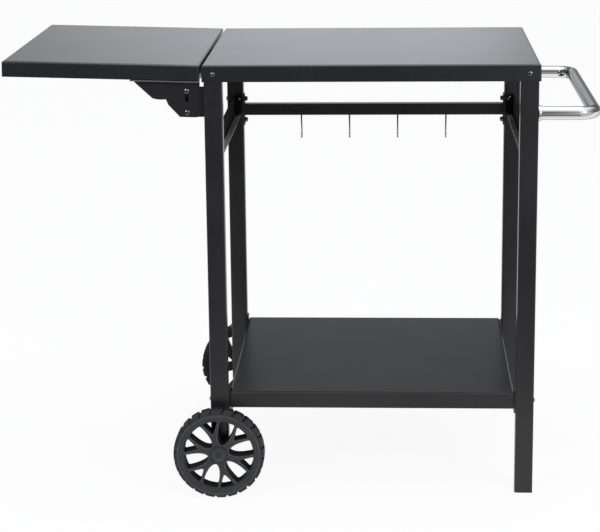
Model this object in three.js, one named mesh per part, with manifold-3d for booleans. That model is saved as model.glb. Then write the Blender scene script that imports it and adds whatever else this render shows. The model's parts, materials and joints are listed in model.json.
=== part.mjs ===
// Barbecue cart: a folded steel worktop on four tube legs, with a lower shelf, two wheels,
// a steel push handle, a rail with four hooks and a side shelf that folds down.
// Sizes are in millimetres. While it is built, X = 0 is the left end of the worktop, Y = 0 its
// front and Z = 0 the floor; at the end the whole cart is moved so that its middle is the origin.
import * as THREE from 'three';
import { mergeVertices } from 'three/addons/utils/BufferGeometryUtils.js';
import Module from 'manifold-3d';

const wasm = await Module();
wasm.setup();

// Fits, shared by all pieces
const clearance = 0.3; // between neighbours that are not pressed together
const holePlay = 0.4; // between a shank and the edge of its hole
const overrun = 3; // how far a cutting shape runs past what it cuts
const roundSides = 8; // flats round a bolt, a screw or its hole
const turnedSides = 16; // flats round the hub, the axle and what sits on them
const cornerSteps = 2; // steps round a tube's or a tab's corner
const plateSteps = 4; // steps round a plate's corner
const mergeDistance = 0.0001;

// Folded trays: worktop, side shelf and lower shelf
const sheet = 1.2;
const bend = 5; // outer radius of a folded edge
const bendSteps = 3;
const trayCorner = 2.5; // radius of a tray's upright corners
const workHeight = 850;
const topWidth = 638;
const topDepth = 530;
const topFlange = 32;
const sideWidth = 375;
const sideFlange = 30;
const sideGap = 3.5; // between the side shelf and the worktop
const sideTilt = THREE.MathUtils.degToRad(1.5); // the side shelf's free end stands a little high
const lipDepth = 14; // lip turned in under the side shelf's front and rear flanges

// Hat-shaped stiffeners under the trays
const hatSheet = 1;
const hatHeight = 18;
const hatCrown = 34;
const hatBrim = 12;
const hatEndGap = 30; // from a stiffener's end to the flange

// Legs
const legWidth = 35;
const legDepth = 25;
const legWall = 1.2;
const legCorner = 3;
const legInset = 3.7; // from the worktop's end to the leg's outer face
const plugFlange = 3;
const plugDepth = 14;
const plugWall = 2.5;

// Lower shelf and its brackets
const shelfHeight = 205; // top of the lower shelf
const shelfFlange = 32;
const shelfSetback = 3; // from the legs' front faces to the shelf's front
const bracketSheet = 3;
const bracketDepth = 48;
const bracketDrop = 12; // below the shelf's flange
const bracketRise = 9; // above the shelf, on the wheel side
const bracketSink = 3; // below the shelf's top, on the foot side
const bracketNose = 10;
const shelfBoltDrop = 17;

// Rails between the front and rear legs, of folded angle
const railSheet = 1.5;
const railDrop = 186.5; // from the worktop down to the rails' underside
const railWebHeight = 46;
const railFlangeWidth = 14;
const railBend = 3;
const railInset = 15; // from the leg's outer face to the web
const railTabWidth = 17;
const railTabHeight = 40;
const railScrewDrop = 9; // below the top of the tab

// Rear rail that carries the hooks
const barHeight = 25;
const barDepth = 20;
const barSheet = 1.5;
const barDrop = 186.5; // from the worktop down to the rear rail's underside
const plateSheet = 2.5;
const plateHeight = 69;
const plateMargin = 2; // between the plate's edge and the leg's
const plateCorner = 5;
const boltPitch = 46;

// Hooks
const hookCount = 4;
const hookPitch = 104;
const hookWire = 3.4;
const hookSides = 6;
const hookCrook = 6.7; // middle radius of the upper crook
const hookBowl = 9.5; // middle radius of the lower crook
const hookReach = 47; // from the upper crook's middle to the bottom of the lower one's wire
const hookCrookTail = THREE.MathUtils.degToRad(-28);
const hookBowlTail = THREE.MathUtils.degToRad(205);
const hookSteps = 7; // rings in a half turn
const hookStrip = 5; // metal between a hook hole and the bar's rear edge
const hookHoleWidth = 9;

// Wheels and axle
const wheelDiameter = 178;
const wheelWidth = 38;
const wheelGap = 4; // from the leg to the wheel
const axleDiameter = 12;
const axleBelow = 21; // the leg's length below the axle
const spacerDiameter = 20;
const lugCount = 24;
const lugHeight = 3.6;
const lugSkew = THREE.MathUtils.degToRad(16);
const lugGroove = 3.6;
const lugBevel = 5;
const lugShoulder = 3; // how far the tread draws in at each side
const rimRadius = 70; // opening inside the rim
const wallRadius = 79; // step between the rim face and the tyre's sidewall
const rimSink = 1.6; // depth of that step
const spokeCount = 6;
const spokeDepth = 30;
const hubDiameter = 34;
const petalTurn = THREE.MathUtils.degToRad(14); // first large opening, from the horizontal
const petalStart = 20; // radius of the large opening's tip
const petalAngle = THREE.MathUtils.degToRad(12.4); // half of its width at the rim
const petalTip = [24, 10]; // along and across it, the handle of its edge's curve at the tip
const petalFlank = [40, 15]; // and the one further out
const windowStart = 41.5; // radius of the small opening's tip
const windowAngle = THREE.MathUtils.degToRad(12.4);
const openingEnd = 68; // radius where both openings stop
const rimSides = 40;
const openingSteps = 4;
const capDiameter = 27;
const capHeight = 3;
const capDimple = 3.4; // radius of the dimple in the cap
const capDimpleDepth = 1;

// Handle
const handleDiameter = 25.4;
const handleWall = 1.2;
const handleDrop = 95; // from the worktop down to the handle's middle
const handleReach = 104; // from the worktop's end to the grip's middle
const handleBend = 32;
const handleSides = 14;
const handleBendSteps = 5;
const collarDiameter = 30;
const collarLength = 5;

// Fold-down bracket of the side shelf
const pivotDrop = 92.5; // from the side shelf's top down to the pivot
const pivotInset = 29; // from the worktop's end out to the pivot
const linkSheet = 2;
const linkSetback = 13.5; // from the front of the side shelf to the swinging plate
const linkReach = 132; // length of the swinging plate's top edge
const linkFoot = 9.2; // below the pivot
const linkToe = 14.3; // left of the pivot, where the foot ends
const linkCorner = 15;
const linkPlay = 2; // from the swinging plate's right edge to the leg
const linkShoulder = 48; // from the pivot up to the step in its right edge
const linkKnee = 36.7; // left of the pivot, the knee in the slanted edge
const linkKneeRise = 13.7;
const linkNotch = 41.3; // left of the pivot, where the shallow arc starts
const linkNotchRise = 24.2;
const linkArcEnd = 66.8; // left of the pivot, where the shallow arc ends
const linkArcRise = 25.5;
const linkArcSag = 3.2;
const lockRise = 41; // from the pivot up to the lock bolt
const lockOffset = 1.3; // lock bolt left of the pivot
const lockTravel = 18;
const stayLobe = 12; // radius of the fixed plate round the pivot
const stayRise = 47.5; // from the pivot to the fixed plate's top
const stayArm = 4.7; // from the pivot's line to the fixed plate's upper arm
const stayFlange = 10;
const stayBack = 8; // left of the pivot, where the fixed plate's rear wall ends

// Bolts and screws
const boltRadius = 3;
const boltHead = 5.6;
const boltHeadHeight = 3.4;
const nutRadius = 5.8;
const nutHeight = 5;
const nutSides = 6;
const screwRadius = 2.5;
const screwHead = 4.8;
const screwHeadHeight = 2.6;
const screwLength = 9;
const topScrewDrop = 17; // below the worktop

const paint = new THREE.MeshStandardMaterial({ color: 0x2b2c2e, roughness: 0.45, metalness: 0.2 });
const topPaint = new THREE.MeshStandardMaterial({ color: 0x35373a, roughness: 0.38, metalness: 0.3 });
const polished = new THREE.MeshStandardMaterial({ color: 0xd8d8d6, roughness: 0.12, metalness: 1 });
const plated = new THREE.MeshStandardMaterial({ color: 0xb9bcc0, roughness: 0.3, metalness: 1 });
const darkBolt = new THREE.MeshStandardMaterial({ color: 0x2a2a2c, roughness: 0.4, metalness: 0.8 });
const plastic = new THREE.MeshStandardMaterial({ color: 0x38383c, roughness: 0.6, metalness: 0 });
const rubberBlack = new THREE.MeshStandardMaterial({ color: 0x1b1b1c, roughness: 0.75, metalness: 0 });

const vector = (x, y, z) => new THREE.Vector3(x, y, z);
const ordered = (a, b) => [Math.min(a, b), Math.max(a, b)];

// Turns a closed three.js geometry into a solid that can be joined and cut
function solidOf(geometry) {
  const bare = new THREE.BufferGeometry();
  bare.setAttribute('position', geometry.attributes.position.clone());
  if (geometry.index) bare.setIndex(geometry.index.clone());
  const merged = mergeVertices(bare, mergeDistance);
  return new wasm.Manifold(new wasm.Mesh({
    numProp: 3,
    vertProperties: Float32Array.from(merged.attributes.position.array),
    triVerts: Uint32Array.from(merged.index.array),
  }));
}

function geometryOf(solid) {
  const { vertProperties, triVerts } = solid.getMesh();
  const geometry = new THREE.BufferGeometry();
  geometry.setAttribute('position', new THREE.BufferAttribute(Float32Array.from(vertProperties), 3));
  geometry.setIndex(new THREE.BufferAttribute(Uint32Array.from(triVerts), 1));
  geometry.computeVertexNormals();
  return geometry;
}

const join = (...solids) => solids.reduce((whole, piece) => whole.add(piece));
const cut = (solid, ...tools) => tools.reduce((rest, tool) => rest.subtract(tool), solid);

function piece(name, solid, material) {
  const mesh = new THREE.Mesh(geometryOf(solid), material);
  mesh.name = name;
  return mesh;
}

function block(x0, x1, y0, y1, z0, z1) {
  const geometry = new THREE.BoxGeometry(x1 - x0, y1 - y0, z1 - z0);
  geometry.translate((x0 + x1) / 2, (y0 + y1) / 2, (z0 + z1) / 2);
  return solidOf(geometry);
}

// A round bar from one point to another
function rod(radius, from, to, sides = roundSides) {
  const run = to.clone().sub(from);
  const geometry = new THREE.CylinderGeometry(radius, radius, run.length(), sides);
  const turn = new THREE.Quaternion().setFromUnitVectors(vector(0, 1, 0), run.clone().normalize());
  geometry.applyQuaternion(turn);
  const middle = from.clone().add(to).multiplyScalar(1 / 2);
  geometry.translate(middle.x, middle.y, middle.z);
  return solidOf(geometry);
}

// A flat outline drawn in X and Z, given its thickness along Y
function slabXZ(shape, y0, y1, curveSegments = plateSteps) {
  const geometry = new THREE.ExtrudeGeometry(shape, { depth: y1 - y0, bevelEnabled: false, curveSegments });
  geometry.rotateX(Math.PI / 2);
  geometry.translate(0, y1, 0);
  return solidOf(geometry);
}

// A flat outline drawn in Y and Z, given its thickness along X
function slabYZ(shape, x0, x1, curveSegments = plateSteps) {
  const geometry = new THREE.ExtrudeGeometry(shape, { depth: x1 - x0, bevelEnabled: false, curveSegments });
  geometry.applyMatrix4(new THREE.Matrix4().makeBasis(vector(0, 1, 0), vector(0, 0, 1), vector(1, 0, 0)));
  geometry.translate(x0, 0, 0);
  return solidOf(geometry);
}

// A flat outline drawn in X and Y, given its thickness along Z
function slabXY(shape, z0, z1, curveSegments = cornerSteps) {
  const geometry = new THREE.ExtrudeGeometry(shape, { depth: z1 - z0, bevelEnabled: false, curveSegments });
  geometry.translate(0, 0, z0);
  return solidOf(geometry);
}

// A closed outline whose corners are rounded, each by its own radius
function roundedOutline(corners) {
  const shape = new THREE.Shape();
  const count = corners.length;
  corners.forEach(([x, y, radius = 0], i) => {
    const here = new THREE.Vector2(x, y);
    const towards = ([cx, cy]) => new THREE.Vector2(cx, cy).sub(here).normalize();
    const before = towards(corners[(i + count - 1) % count]);
    const after = towards(corners[(i + 1) % count]);
    const half = before.angleTo(after) / 2;
    const back = radius / Math.tan(half);
    const start = here.clone().addScaledVector(before, back);
    const end = here.clone().addScaledVector(after, back);
    if (i === 0) shape.moveTo(start.x, start.y);
    else shape.lineTo(start.x, start.y);
    if (radius > 0) shape.quadraticCurveTo(x, y, end.x, end.y);
  });
  shape.closePath();
  return shape;
}

const rectangle = (x0, x1, y0, y1, radius) => roundedOutline(
  [[x0, y0, radius], [x1, y0, radius], [x1, y1, radius], [x0, y1, radius]]);

// A box with rounded upright corners and rounded upper edges that meet in mitres, its top at
// height zero
function softBlock(x0, x1, y0, y1, height, corner, edge) {
  const profile = (a, b) => roundedOutline([[a, -height], [b, -height], [b, 0, edge], [a, 0, edge]]);
  const lengthwise = slabYZ(profile(y0, y1), x0, x1, bendSteps);
  const across = slabXZ(profile(x0, x1), y0, y1, bendSteps);
  return lengthwise.intersect(across).intersect(slabXY(rectangle(x0, x1, y0, y1, corner), -height, 0));
}

// A sheet folded down on all four sides, its top at height zero
function tray(width, depth, flange) {
  const outer = softBlock(0, width, 0, depth, flange, trayCorner, bend);
  const inner = softBlock(sheet, width - sheet, sheet, depth - sheet, flange + overrun,
    trayCorner - sheet, bend - sheet).translate([0, 0, -sheet]);
  return cut(outer, inner);
}

// A hat-shaped stiffener along X, hanging from height zero
function hat(x0, x1, yMiddle) {
  const outer = hatCrown / 2;
  const inner = outer - hatSheet;
  const brim = outer + hatBrim;
  const half = [[inner, hatSheet - hatHeight], [inner, 0], [brim, 0], [brim, -hatSheet], [outer, -hatSheet],
    [outer, -hatHeight]];
  const mirrored = half.map(([y, z]) => [-y, z]).reverse();
  const corners = [...half, ...mirrored].map(([y, z]) => new THREE.Vector2(y + yMiddle, z));
  return slabYZ(new THREE.Shape(corners), x0, x1);
}

// A turned solid about the Y axis from pairs of radius and place along the axis, lowest first
const turned = (profile, sides) => solidOf(new THREE.LatheGeometry(
  profile.map(([radius, along]) => new THREE.Vector2(radius, along)), sides));

// A pan-headed screw that points along +Y, its head's underside at the origin
function screwSolid() {
  const dome = screwHeadHeight / 3;
  const head = [[0, -screwHeadHeight], [screwHead - 2 * dome, -screwHeadHeight], [screwHead, -2 * dome],
    [screwHead, 0]];
  const shank = [[screwRadius, 0], [screwRadius, screwLength - dome], [screwRadius - dome / 2, screwLength],
    [0, screwLength]];
  return turned([...head, ...shank], roundSides);
}

// A round-headed bolt along +Y with its nut, which clamps the thickness given
function boltSolid(grip) {
  const dome = boltHeadHeight / 3;
  const end = grip + nutHeight + dome;
  const shank = turned([[0, -boltHeadHeight], [boltHead - 2 * dome, -boltHeadHeight], [boltHead, -dome],
    [boltHead, 0], [boltRadius, 0], [boltRadius, end], [0, end]], roundSides);
  return join(shank, rod(nutRadius, vector(0, grip, 0), vector(0, grip + nutHeight, 0), nutSides));
}

// Puts a piece made along +Y at a point, turned to face along a direction
function aim(mesh, point, direction) {
  mesh.position.copy(point);
  mesh.quaternion.setFromUnitVectors(vector(0, 1, 0), direction);
  return mesh;
}

// A path through given points, with one ring of a tube at each point
class StationPath extends THREE.Curve {
  constructor(stations) {
    super();
    this.stations = stations;
  }

  getPointAt(share, target = new THREE.Vector3()) {
    return target.copy(this.stations[Math.round(share * (this.stations.length - 1))]);
  }

  getTangentAt(share, target = new THREE.Vector3()) {
    const last = this.stations.length - 1;
    const i = Math.round(share * last);
    const ahead = this.stations[Math.min(i + 1, last)];
    return target.copy(ahead).sub(this.stations[Math.max(i - 1, 0)]).normalize();
  }

  getPoint(share, target) {
    return this.getPointAt(share, target);
  }
}

function sweep(section, stations) {
  return solidOf(new THREE.ExtrudeGeometry(section, {
    steps: stations.length - 1, extrudePath: new StationPath(stations), curveSegments: section.sides / 2,
  }));
}

// A polygon that stands for a circle, and the same with a bore
function ringSection(radius, sides, bore = 0) {
  const circle = (r) => Array.from({ length: sides }, (_, i) => {
    const angle = 2 * Math.PI * i / sides;
    return new THREE.Vector2(r * Math.cos(angle), r * Math.sin(angle));
  });
  const section = new THREE.Shape(circle(radius));
  if (bore) section.holes.push(new THREE.Path(circle(bore).reverse()));
  section.sides = sides;
  return section;
}

// Points round an arc that is drawn in two given directions from its middle
function arcStations(middle, along, up, radius, from, to, steps) {
  return Array.from({ length: steps + 1 }, (_, i) => {
    const angle = from + (to - from) * i / steps;
    return middle.clone()
      .addScaledVector(along, radius * Math.cos(angle))
      .addScaledVector(up, radius * Math.sin(angle));
  });
}

// Places that several pieces share
const legFront = sheet + clearance;
const legTop = workHeight - bend;
const legYs = { front: legFront, rear: topDepth - legFront - legDepth };
const legXs = { left: legInset, right: topWidth - legInset - legWidth };
const legMiddleX = (side) => legXs[side] + legWidth / 2;
const legMiddleY = (end) => legYs[end] + legDepth / 2;
const sides = ['left', 'right'];
const ends = ['front', 'rear'];
const innerX = { left: legXs.left + legWidth, right: legXs.right };
const outerX = { left: legXs.left, right: legXs.right + legWidth };
const inward = { left: 1, right: -1 }; // the direction along X that leads under the worktop
const backward = { front: 1, rear: -1 }; // the direction along Y that leads under the worktop
const axleHeight = wheelDiameter / 2;
const railFoot = workHeight - railDrop;
const railTop = railFoot + railWebHeight;
const barFoot = workHeight - barDrop;
const barMiddle = barFoot + barHeight / 2;
const barY = legMiddleY('rear') - barDepth / 2;
const pivotX = -pivotInset;
const sideRight = (pivotInset - sideGap - pivotDrop * Math.sin(sideTilt)) / Math.cos(sideTilt);
const pivotZ = workHeight - pivotDrop * Math.cos(sideTilt) + sideRight * Math.sin(sideTilt);
const linkRight = pivotInset + legInset - linkPlay;

const cart = new THREE.Group();

// Places of the fasteners: where each one's head seats and which way it points
const topScrews = ends.flatMap((end) => sides.map((side) => ({
  name: `top_screw_${end}_${side}`,
  side,
  end,
  point: vector(legMiddleX(side), end === 'front' ? 0 : topDepth, workHeight - topScrewDrop),
  direction: vector(0, backward[end], 0),
})));
const railX = { left: legXs.left + railInset, right: legXs.right + legWidth - railInset };
const railScrews = ends.flatMap((end) => sides.map((side) => ({
  name: `rail_screw_${end}_${side}`,
  side,
  end,
  point: vector(railX[side] + inward[side] * (railSheet + railTabWidth / 2),
    end === 'front' ? legYs.front + legDepth + railSheet : legYs.rear - railSheet, railTop - railScrewDrop),
  direction: vector(0, -backward[end], 0),
})));
const barBolts = sides.flatMap((side) => [1, -1].map((step) => ({
  name: `bar_bolt_${step > 0 ? 'upper' : 'lower'}_${side}`,
  side,
  end: 'rear',
  point: vector(outerX[side], legMiddleY('rear'), barMiddle + step * boltPitch / 2),
  direction: vector(inward[side], 0, 0),
})));
const shelfBolts = ends.flatMap((end) => sides.map((side) => ({
  name: `shelf_bolt_${end}_${side}`,
  side,
  end,
  point: vector(outerX[side], legMiddleY(end), shelfHeight - shelfBoltDrop),
  direction: vector(inward[side], 0, 0),
})));

// What the bolts clamp, from head to nut
const barGrip = legWidth + plateSheet;
const shelfGrip = legWidth + bracketSheet + clearance + sheet;

// The hole that a fastener needs through what it passes
function holeFor({ point, direction }, radius, length) {
  const from = point.clone().addScaledVector(direction, -overrun);
  return rod(radius + holePlay, from, point.clone().addScaledVector(direction, length + overrun));
}

function worktop() {
  const folded = tray(topWidth, topDepth, topFlange).translate([0, 0, workHeight]);
  const holes = topScrews.map((screw) => holeFor(screw, screwRadius, screwLength));
  const stiffener = hat(sheet + hatEndGap, topWidth - sheet - hatEndGap, topDepth / 2)
    .translate([0, 0, workHeight - sheet]);
  return [piece('main_top', cut(folded, ...holes), topPaint),
    piece('main_top_stiffener', stiffener, paint)];
}

// A leg's section, drawn in by a margin on all sides
const legOutline = (x, y, margin, corner) => rectangle(
  x + margin, x + legWidth - margin, y + margin, y + legDepth - margin, corner);

// A rectangular tube, open at both ends
function legTube(x, y, bottom) {
  return cut(slabXY(legOutline(x, y, 0, legCorner), bottom, legTop),
    slabXY(legOutline(x, y, legWall, legCorner - legWall), bottom - overrun, legTop + overrun));
}

// A plastic plug with a flange as wide as the tube and an open cup inside it
function plugSolid(x, y, bottom) {
  const margin = legWall + clearance;
  const top = bottom + plugFlange + plugDepth;
  const flange = slabXY(legOutline(x, y, 0, legCorner), bottom, bottom + plugFlange);
  const cup = slabXY(legOutline(x, y, margin, legCorner - legWall), bottom, top);
  const hollow = slabXY(legOutline(x, y, margin + plugWall, 0), bottom + plugFlange, top + overrun);
  return cut(join(flange, cup), hollow);
}

function legs() {
  const pieces = [];
  for (const end of ends) {
    for (const side of sides) {
      const foot = side === 'left' ? axleHeight - axleBelow : 0;
      const mine = (fastener) => fastener.side === side && fastener.end === end;
      const cuts = [
        ...topScrews.filter(mine).map((screw) => holeFor(screw, screwRadius, screwLength)),
        ...railScrews.filter(mine).map((screw) => holeFor(screw, screwRadius, screwLength - railSheet)),
        ...barBolts.filter(mine).map((bolt) => holeFor(bolt, boltRadius, legWidth)),
        ...shelfBolts.filter(mine).map((bolt) => holeFor(bolt, boltRadius, legWidth)),
      ];
      const axleAt = (y) => vector(legMiddleX(side), y, axleHeight);
      const axleHoles = side === 'left' ? [rod(axleDiameter / 2 + holePlay, axleAt(legYs[end] - overrun),
        axleAt(legYs[end] + legDepth + overrun), turnedSides)] : [];
      const tube = cut(legTube(legXs[side], legYs[end], foot + plugFlange), ...cuts, ...axleHoles);
      const plug = cut(plugSolid(legXs[side], legYs[end], foot), ...axleHoles);
      const plugName = side === 'left' ? 'leg_plug' : 'foot';
      pieces.push(piece(`leg_${end}_${side}`, tube, paint),
        piece(`${plugName}_${end}_${side}`, plug, rubberBlack));
    }
  }
  return pieces;
}

// Folded angle between the front and rear legs, with a screw tab at each end
function sideRails() {
  const y0 = legYs.front + legDepth;
  const y1 = legYs.rear;
  return sides.map((side) => {
    const out = (distance) => railX[side] + inward[side] * distance;
    const lip = railFoot + railSheet;
    const corners = [[out(0), railFoot, railBend], [out(railFlangeWidth), railFoot],
      [out(railFlangeWidth), lip], [out(railSheet), lip, railBend - railSheet],
      [out(railSheet), railTop], [out(0), railTop]];
    const angle = slabXZ(roundedOutline(side === 'left' ? corners : corners.reverse()), y0, y1);
    const tabs = ends.map((end) => {
      const [x0, x1] = ordered(out(0), out(railSheet + railTabWidth));
      const face = end === 'front' ? y0 : y1 - railSheet;
      const outline = rectangle(x0, x1, railTop - railTabHeight, railTop, 2 * railSheet);
      return slabXZ(outline, face, face + railSheet, cornerSteps);
    });
    const holes = railScrews.filter((screw) => screw.side === side)
      .map((screw) => holeFor(screw, screwRadius, railSheet));
    return piece(`side_rail_${side}`, cut(join(angle, ...tabs), ...holes), paint);
  });
}

// Middles of the hooks' upper crooks, which lie round the strip behind the bar's hook holes
const stripMiddle = barY + barDepth - hookStrip / 2;
const stripTop = Math.sqrt((hookCrook - hookWire / 2 - clearance) ** 2 - (hookStrip / 2) ** 2);
const hookXs = Array.from({ length: hookCount },
  (_, i) => topWidth / 2 + (i - (hookCount - 1) / 2) * hookPitch);
const hookMiddle = (x) => vector(x, stripMiddle, barFoot + barSheet - stripTop);

// A channel that is open to the rear, on two plates bolted to the rear legs
function rearBar() {
  const y1 = barY + barDepth;
  const z1 = barFoot + barHeight;
  const channel = new THREE.Shape([[barY, barFoot], [y1, barFoot], [y1, barFoot + barSheet],
    [barY + barSheet, barFoot + barSheet], [barY + barSheet, z1 - barSheet], [y1, z1 - barSheet], [y1, z1],
    [barY, z1]].map(([y, z]) => new THREE.Vector2(y, z)));
  const bar = slabYZ(channel, innerX.left + plateSheet / 2, innerX.right - plateSheet / 2);
  const plateOutline = rectangle(legYs.rear + plateMargin, legYs.rear + legDepth - plateMargin,
    barMiddle - plateHeight / 2, barMiddle + plateHeight / 2, plateCorner);
  const plates = sides.map((side) => {
    const faces = ordered(innerX[side], innerX[side] + inward[side] * plateSheet);
    return slabYZ(plateOutline, ...faces);
  });
  const boltHoles = barBolts.map((bolt) => holeFor(bolt, boltRadius, barGrip));
  const hookHoles = hookXs.map((x) => {
    const front = stripMiddle - hookCrook - hookWire / 2 - 2 * clearance;
    return block(x - hookHoleWidth / 2, x + hookHoleWidth / 2, front, stripMiddle - hookStrip / 2,
      barFoot - overrun, barFoot + barSheet + overrun);
  });
  return piece('rear_bar', cut(join(bar, ...plates), ...boltHoles, ...hookHoles), paint);
}

// An S of round wire in the Y-Z plane, hung over the strip behind its hole and turned so that its
// weight is under the strip
function hooks() {
  const back = vector(0, 1, 0);
  const up = vector(0, 0, 1);
  const bowlMiddle = vector(0, -hookCrook - hookBowl, hookBowl + hookWire / 2 - hookReach);
  const stepsFor = (turn) => Math.ceil(hookSteps * turn / Math.PI);
  const stations = [
    ...arcStations(vector(0, 0, 0), back, up, hookCrook, hookCrookTail, Math.PI,
      stepsFor(Math.PI - hookCrookTail)),
    ...arcStations(bowlMiddle, back, up, hookBowl, 0, -hookBowlTail, stepsFor(hookBowlTail)),
  ];
  const wire = sweep(ringSection(hookWire / 2, hookSides), stations);
  const weight = vector(0, 0, 0);
  stations.slice(1).forEach((point, i) => {
    weight.addScaledVector(point.clone().add(stations[i]), point.distanceTo(stations[i]));
  });
  return hookXs.map((x, i) => {
    const mesh = piece(`hook_${i + 1}`, wire, plated);
    mesh.position.copy(hookMiddle(x));
    mesh.rotation.x = Math.atan2(-weight.y, -weight.z);
    return mesh;
  });
}

function lowerShelf() {
  const x0 = innerX.left + bracketSheet + clearance;
  const x1 = innerX.right - bracketSheet - clearance;
  const y0 = legYs.front + shelfSetback;
  const y1 = topDepth - y0;
  const holes = shelfBolts.map((bolt) => holeFor(bolt, boltRadius, shelfGrip));
  const folded = tray(x1 - x0, y1 - y0, shelfFlange).translate([x0, y0, shelfHeight]);
  const stiffener = hat(x0 + sheet + hatEndGap, x1 - sheet - hatEndGap, topDepth / 2)
    .translate([0, 0, shelfHeight - sheet]);
  const brackets = ends.flatMap((end) => sides.map((side) => {
    const low = shelfHeight - shelfFlange - bracketDrop;
    const high = side === 'left' ? shelfHeight + bracketRise : shelfHeight - bracketSink;
    const along = (distance) => (end === 'front' ? y0 + distance : y1 - distance);
    const middle = shelfHeight - shelfFlange / 2;
    const corners = [[along(0), low, bracketNose], [along(bracketDepth), low, bracketNose],
      [along(bracketDepth), middle, bracketNose], [along(legDepth), high, bracketNose / 2],
      [along(0), high]];
    const outline = roundedOutline(end === 'front' ? corners : corners.reverse());
    const faces = ordered(innerX[side], innerX[side] + inward[side] * bracketSheet);
    const plate = cut(slabYZ(outline, ...faces), ...holes);
    return piece(`shelf_bracket_${end}_${side}`, plate, paint);
  }));
  return [piece('lower_shelf', cut(folded, ...holes), topPaint),
    piece('lower_shelf_stiffener', stiffener, paint), ...brackets];
}

function fasteners() {
  const all = (places, solid) => places.map((place) => (
    aim(piece(place.name, solid, darkBolt), place.point, place.direction)));
  return [
    ...all([...topScrews, ...railScrews], screwSolid()),
    ...all(barBolts, boltSolid(barGrip)),
    ...all(shelfBolts, boltSolid(shelfGrip)),
  ];
}

// A bent tube whose arms butt on the outer faces of the right legs
function handle() {
  const x0 = legXs.right + legWidth;
  const x1 = topWidth + handleReach;
  const z = workHeight - handleDrop;
  const [y0, y1] = ends.map(legMiddleY);
  const right = vector(1, 0, 0);
  const back = vector(0, 1, 0);
  const bendAt = (y, from) => arcStations(
    vector(x1 - handleBend, y, z), right, back, handleBend, from, from + Math.PI / 2, handleBendSteps);
  const bends = [...bendAt(y0 + handleBend, -Math.PI / 2), ...bendAt(y1 - handleBend, 0)];
  const stations = [vector(x0, y0, z), ...bends, vector(x0, y1, z)];
  const radius = handleDiameter / 2;
  const tube = sweep(ringSection(radius, handleSides, radius - handleWall), stations);
  const collars = ends.map((end) => {
    const ring = cut(rod(collarDiameter / 2, vector(0, 0, 0), vector(collarLength, 0, 0), handleSides),
      rod(radius + clearance, vector(-overrun, 0, 0), vector(collarLength + overrun, 0, 0), handleSides));
    const mesh = piece(`handle_collar_${end}`, ring, polished);
    mesh.position.set(x0, legMiddleY(end), z);
    return mesh;
  });
  return [piece('handle', tube, polished), ...collars];
}

// A point given by its radius and angle
const polar = (radius, angle) => [radius * Math.cos(angle), radius * Math.sin(angle)];

// The large opening between two spokes, drawn about the wheel's middle
function petal(angle) {
  const path = new THREE.Path();
  const place = ([along, across], side) => polar(
    Math.hypot(along, across), angle + side * Math.atan2(across, along));
  path.moveTo(...polar(petalStart, angle));
  path.bezierCurveTo(...place(petalTip, 1), ...place(petalFlank, 1),
    ...polar(openingEnd, angle + petalAngle));
  path.absarc(0, 0, openingEnd, angle + petalAngle, angle - petalAngle, true);
  path.bezierCurveTo(...place(petalFlank, -1), ...place(petalTip, -1), ...polar(petalStart, angle));
  return path;
}

// The small three-cornered opening in the fork of a spoke
function forkWindow(angle) {
  const path = new THREE.Path();
  path.moveTo(...polar(windowStart, angle));
  path.lineTo(...polar(openingEnd, angle + windowAngle));
  path.absarc(0, 0, openingEnd, angle + windowAngle, angle - windowAngle, true);
  path.closePath();
  return path;
}

// The lugged tread about the Z axis: a notched outline drawn out across the wheel, then twisted
// both ways from the middle so that the grooves meet in a V
function treadSolid() {
  const radius = wheelDiameter / 2;
  const pitch = 2 * Math.PI / lugCount;
  const groove = lugGroove / radius;
  const outline = [];
  for (let i = 0; i < lugCount; i += 1) {
    const middle = i * pitch;
    const side = (pitch - groove) / 2;
    const floor = [middle + side + groove / 4, middle + pitch - side - groove / 4];
    outline.push(...[middle - side, middle, middle + side].map((angle) => polar(radius, angle)),
      ...floor.map((angle) => polar(radius - lugHeight, angle)));
  }
  const shape = new THREE.Shape(outline.map(([x, y]) => new THREE.Vector2(x, y)));
  const tread = new THREE.ExtrudeGeometry(shape, {
    steps: 2,
    depth: wheelWidth - 2 * lugBevel,
    bevelThickness: lugBevel,
    bevelSize: lugShoulder,
    bevelOffset: -lugShoulder,
    bevelSegments: 1,
  });
  tread.translate(0, 0, lugBevel - wheelWidth / 2);
  const place = tread.attributes.position;
  for (let i = 0; i < place.count; i += 1) {
    const point = new THREE.Vector3().fromBufferAttribute(place, i);
    point.applyAxisAngle(vector(0, 0, 1), Math.tan(lugSkew) * Math.abs(point.z) / radius);
    place.setXYZ(i, point.x, point.y, point.z);
  }
  return solidOf(tread);
}

// One moulded wheel: lugged tread, rim, forked spokes and hub, drawn about Z and then turned so
// that its outer side faces +Y
function wheelSolid() {
  const half = wheelWidth / 2;
  const disc = new THREE.Shape();
  disc.absarc(0, 0, (rimRadius + wallRadius) / 2, 0, 2 * Math.PI);
  for (let i = 0; i < spokeCount; i += 1) {
    const angle = petalTurn + 2 * Math.PI * i / spokeCount;
    disc.holes.push(petal(angle), forkWindow(angle + Math.PI / spokeCount));
  }
  const spokes = slabXY(disc, -spokeDepth / 2, spokeDepth / 2, openingSteps);
  const across = (radius, from, to, count) => rod(radius, vector(0, 0, from), vector(0, 0, to), count);
  const tyre = cut(treadSolid(), across(rimRadius, -half - overrun, half + overrun, rimSides),
    across(wallRadius, half - rimSink, half + overrun, rimSides),
    across(wallRadius, -half - overrun, rimSink - half, rimSides));
  const bore = across(axleDiameter / 2 + holePlay, -half - overrun, half + overrun, turnedSides);
  const capSeat = across(capDiameter / 2 + clearance, half - capHeight / 2, half + overrun, turnedSides);
  const wheel = cut(join(tyre, spokes, across(hubDiameter / 2, -half, half, turnedSides)), bore, capSeat);
  return wheel.rotate([-90, 0, 0]);
}

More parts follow.
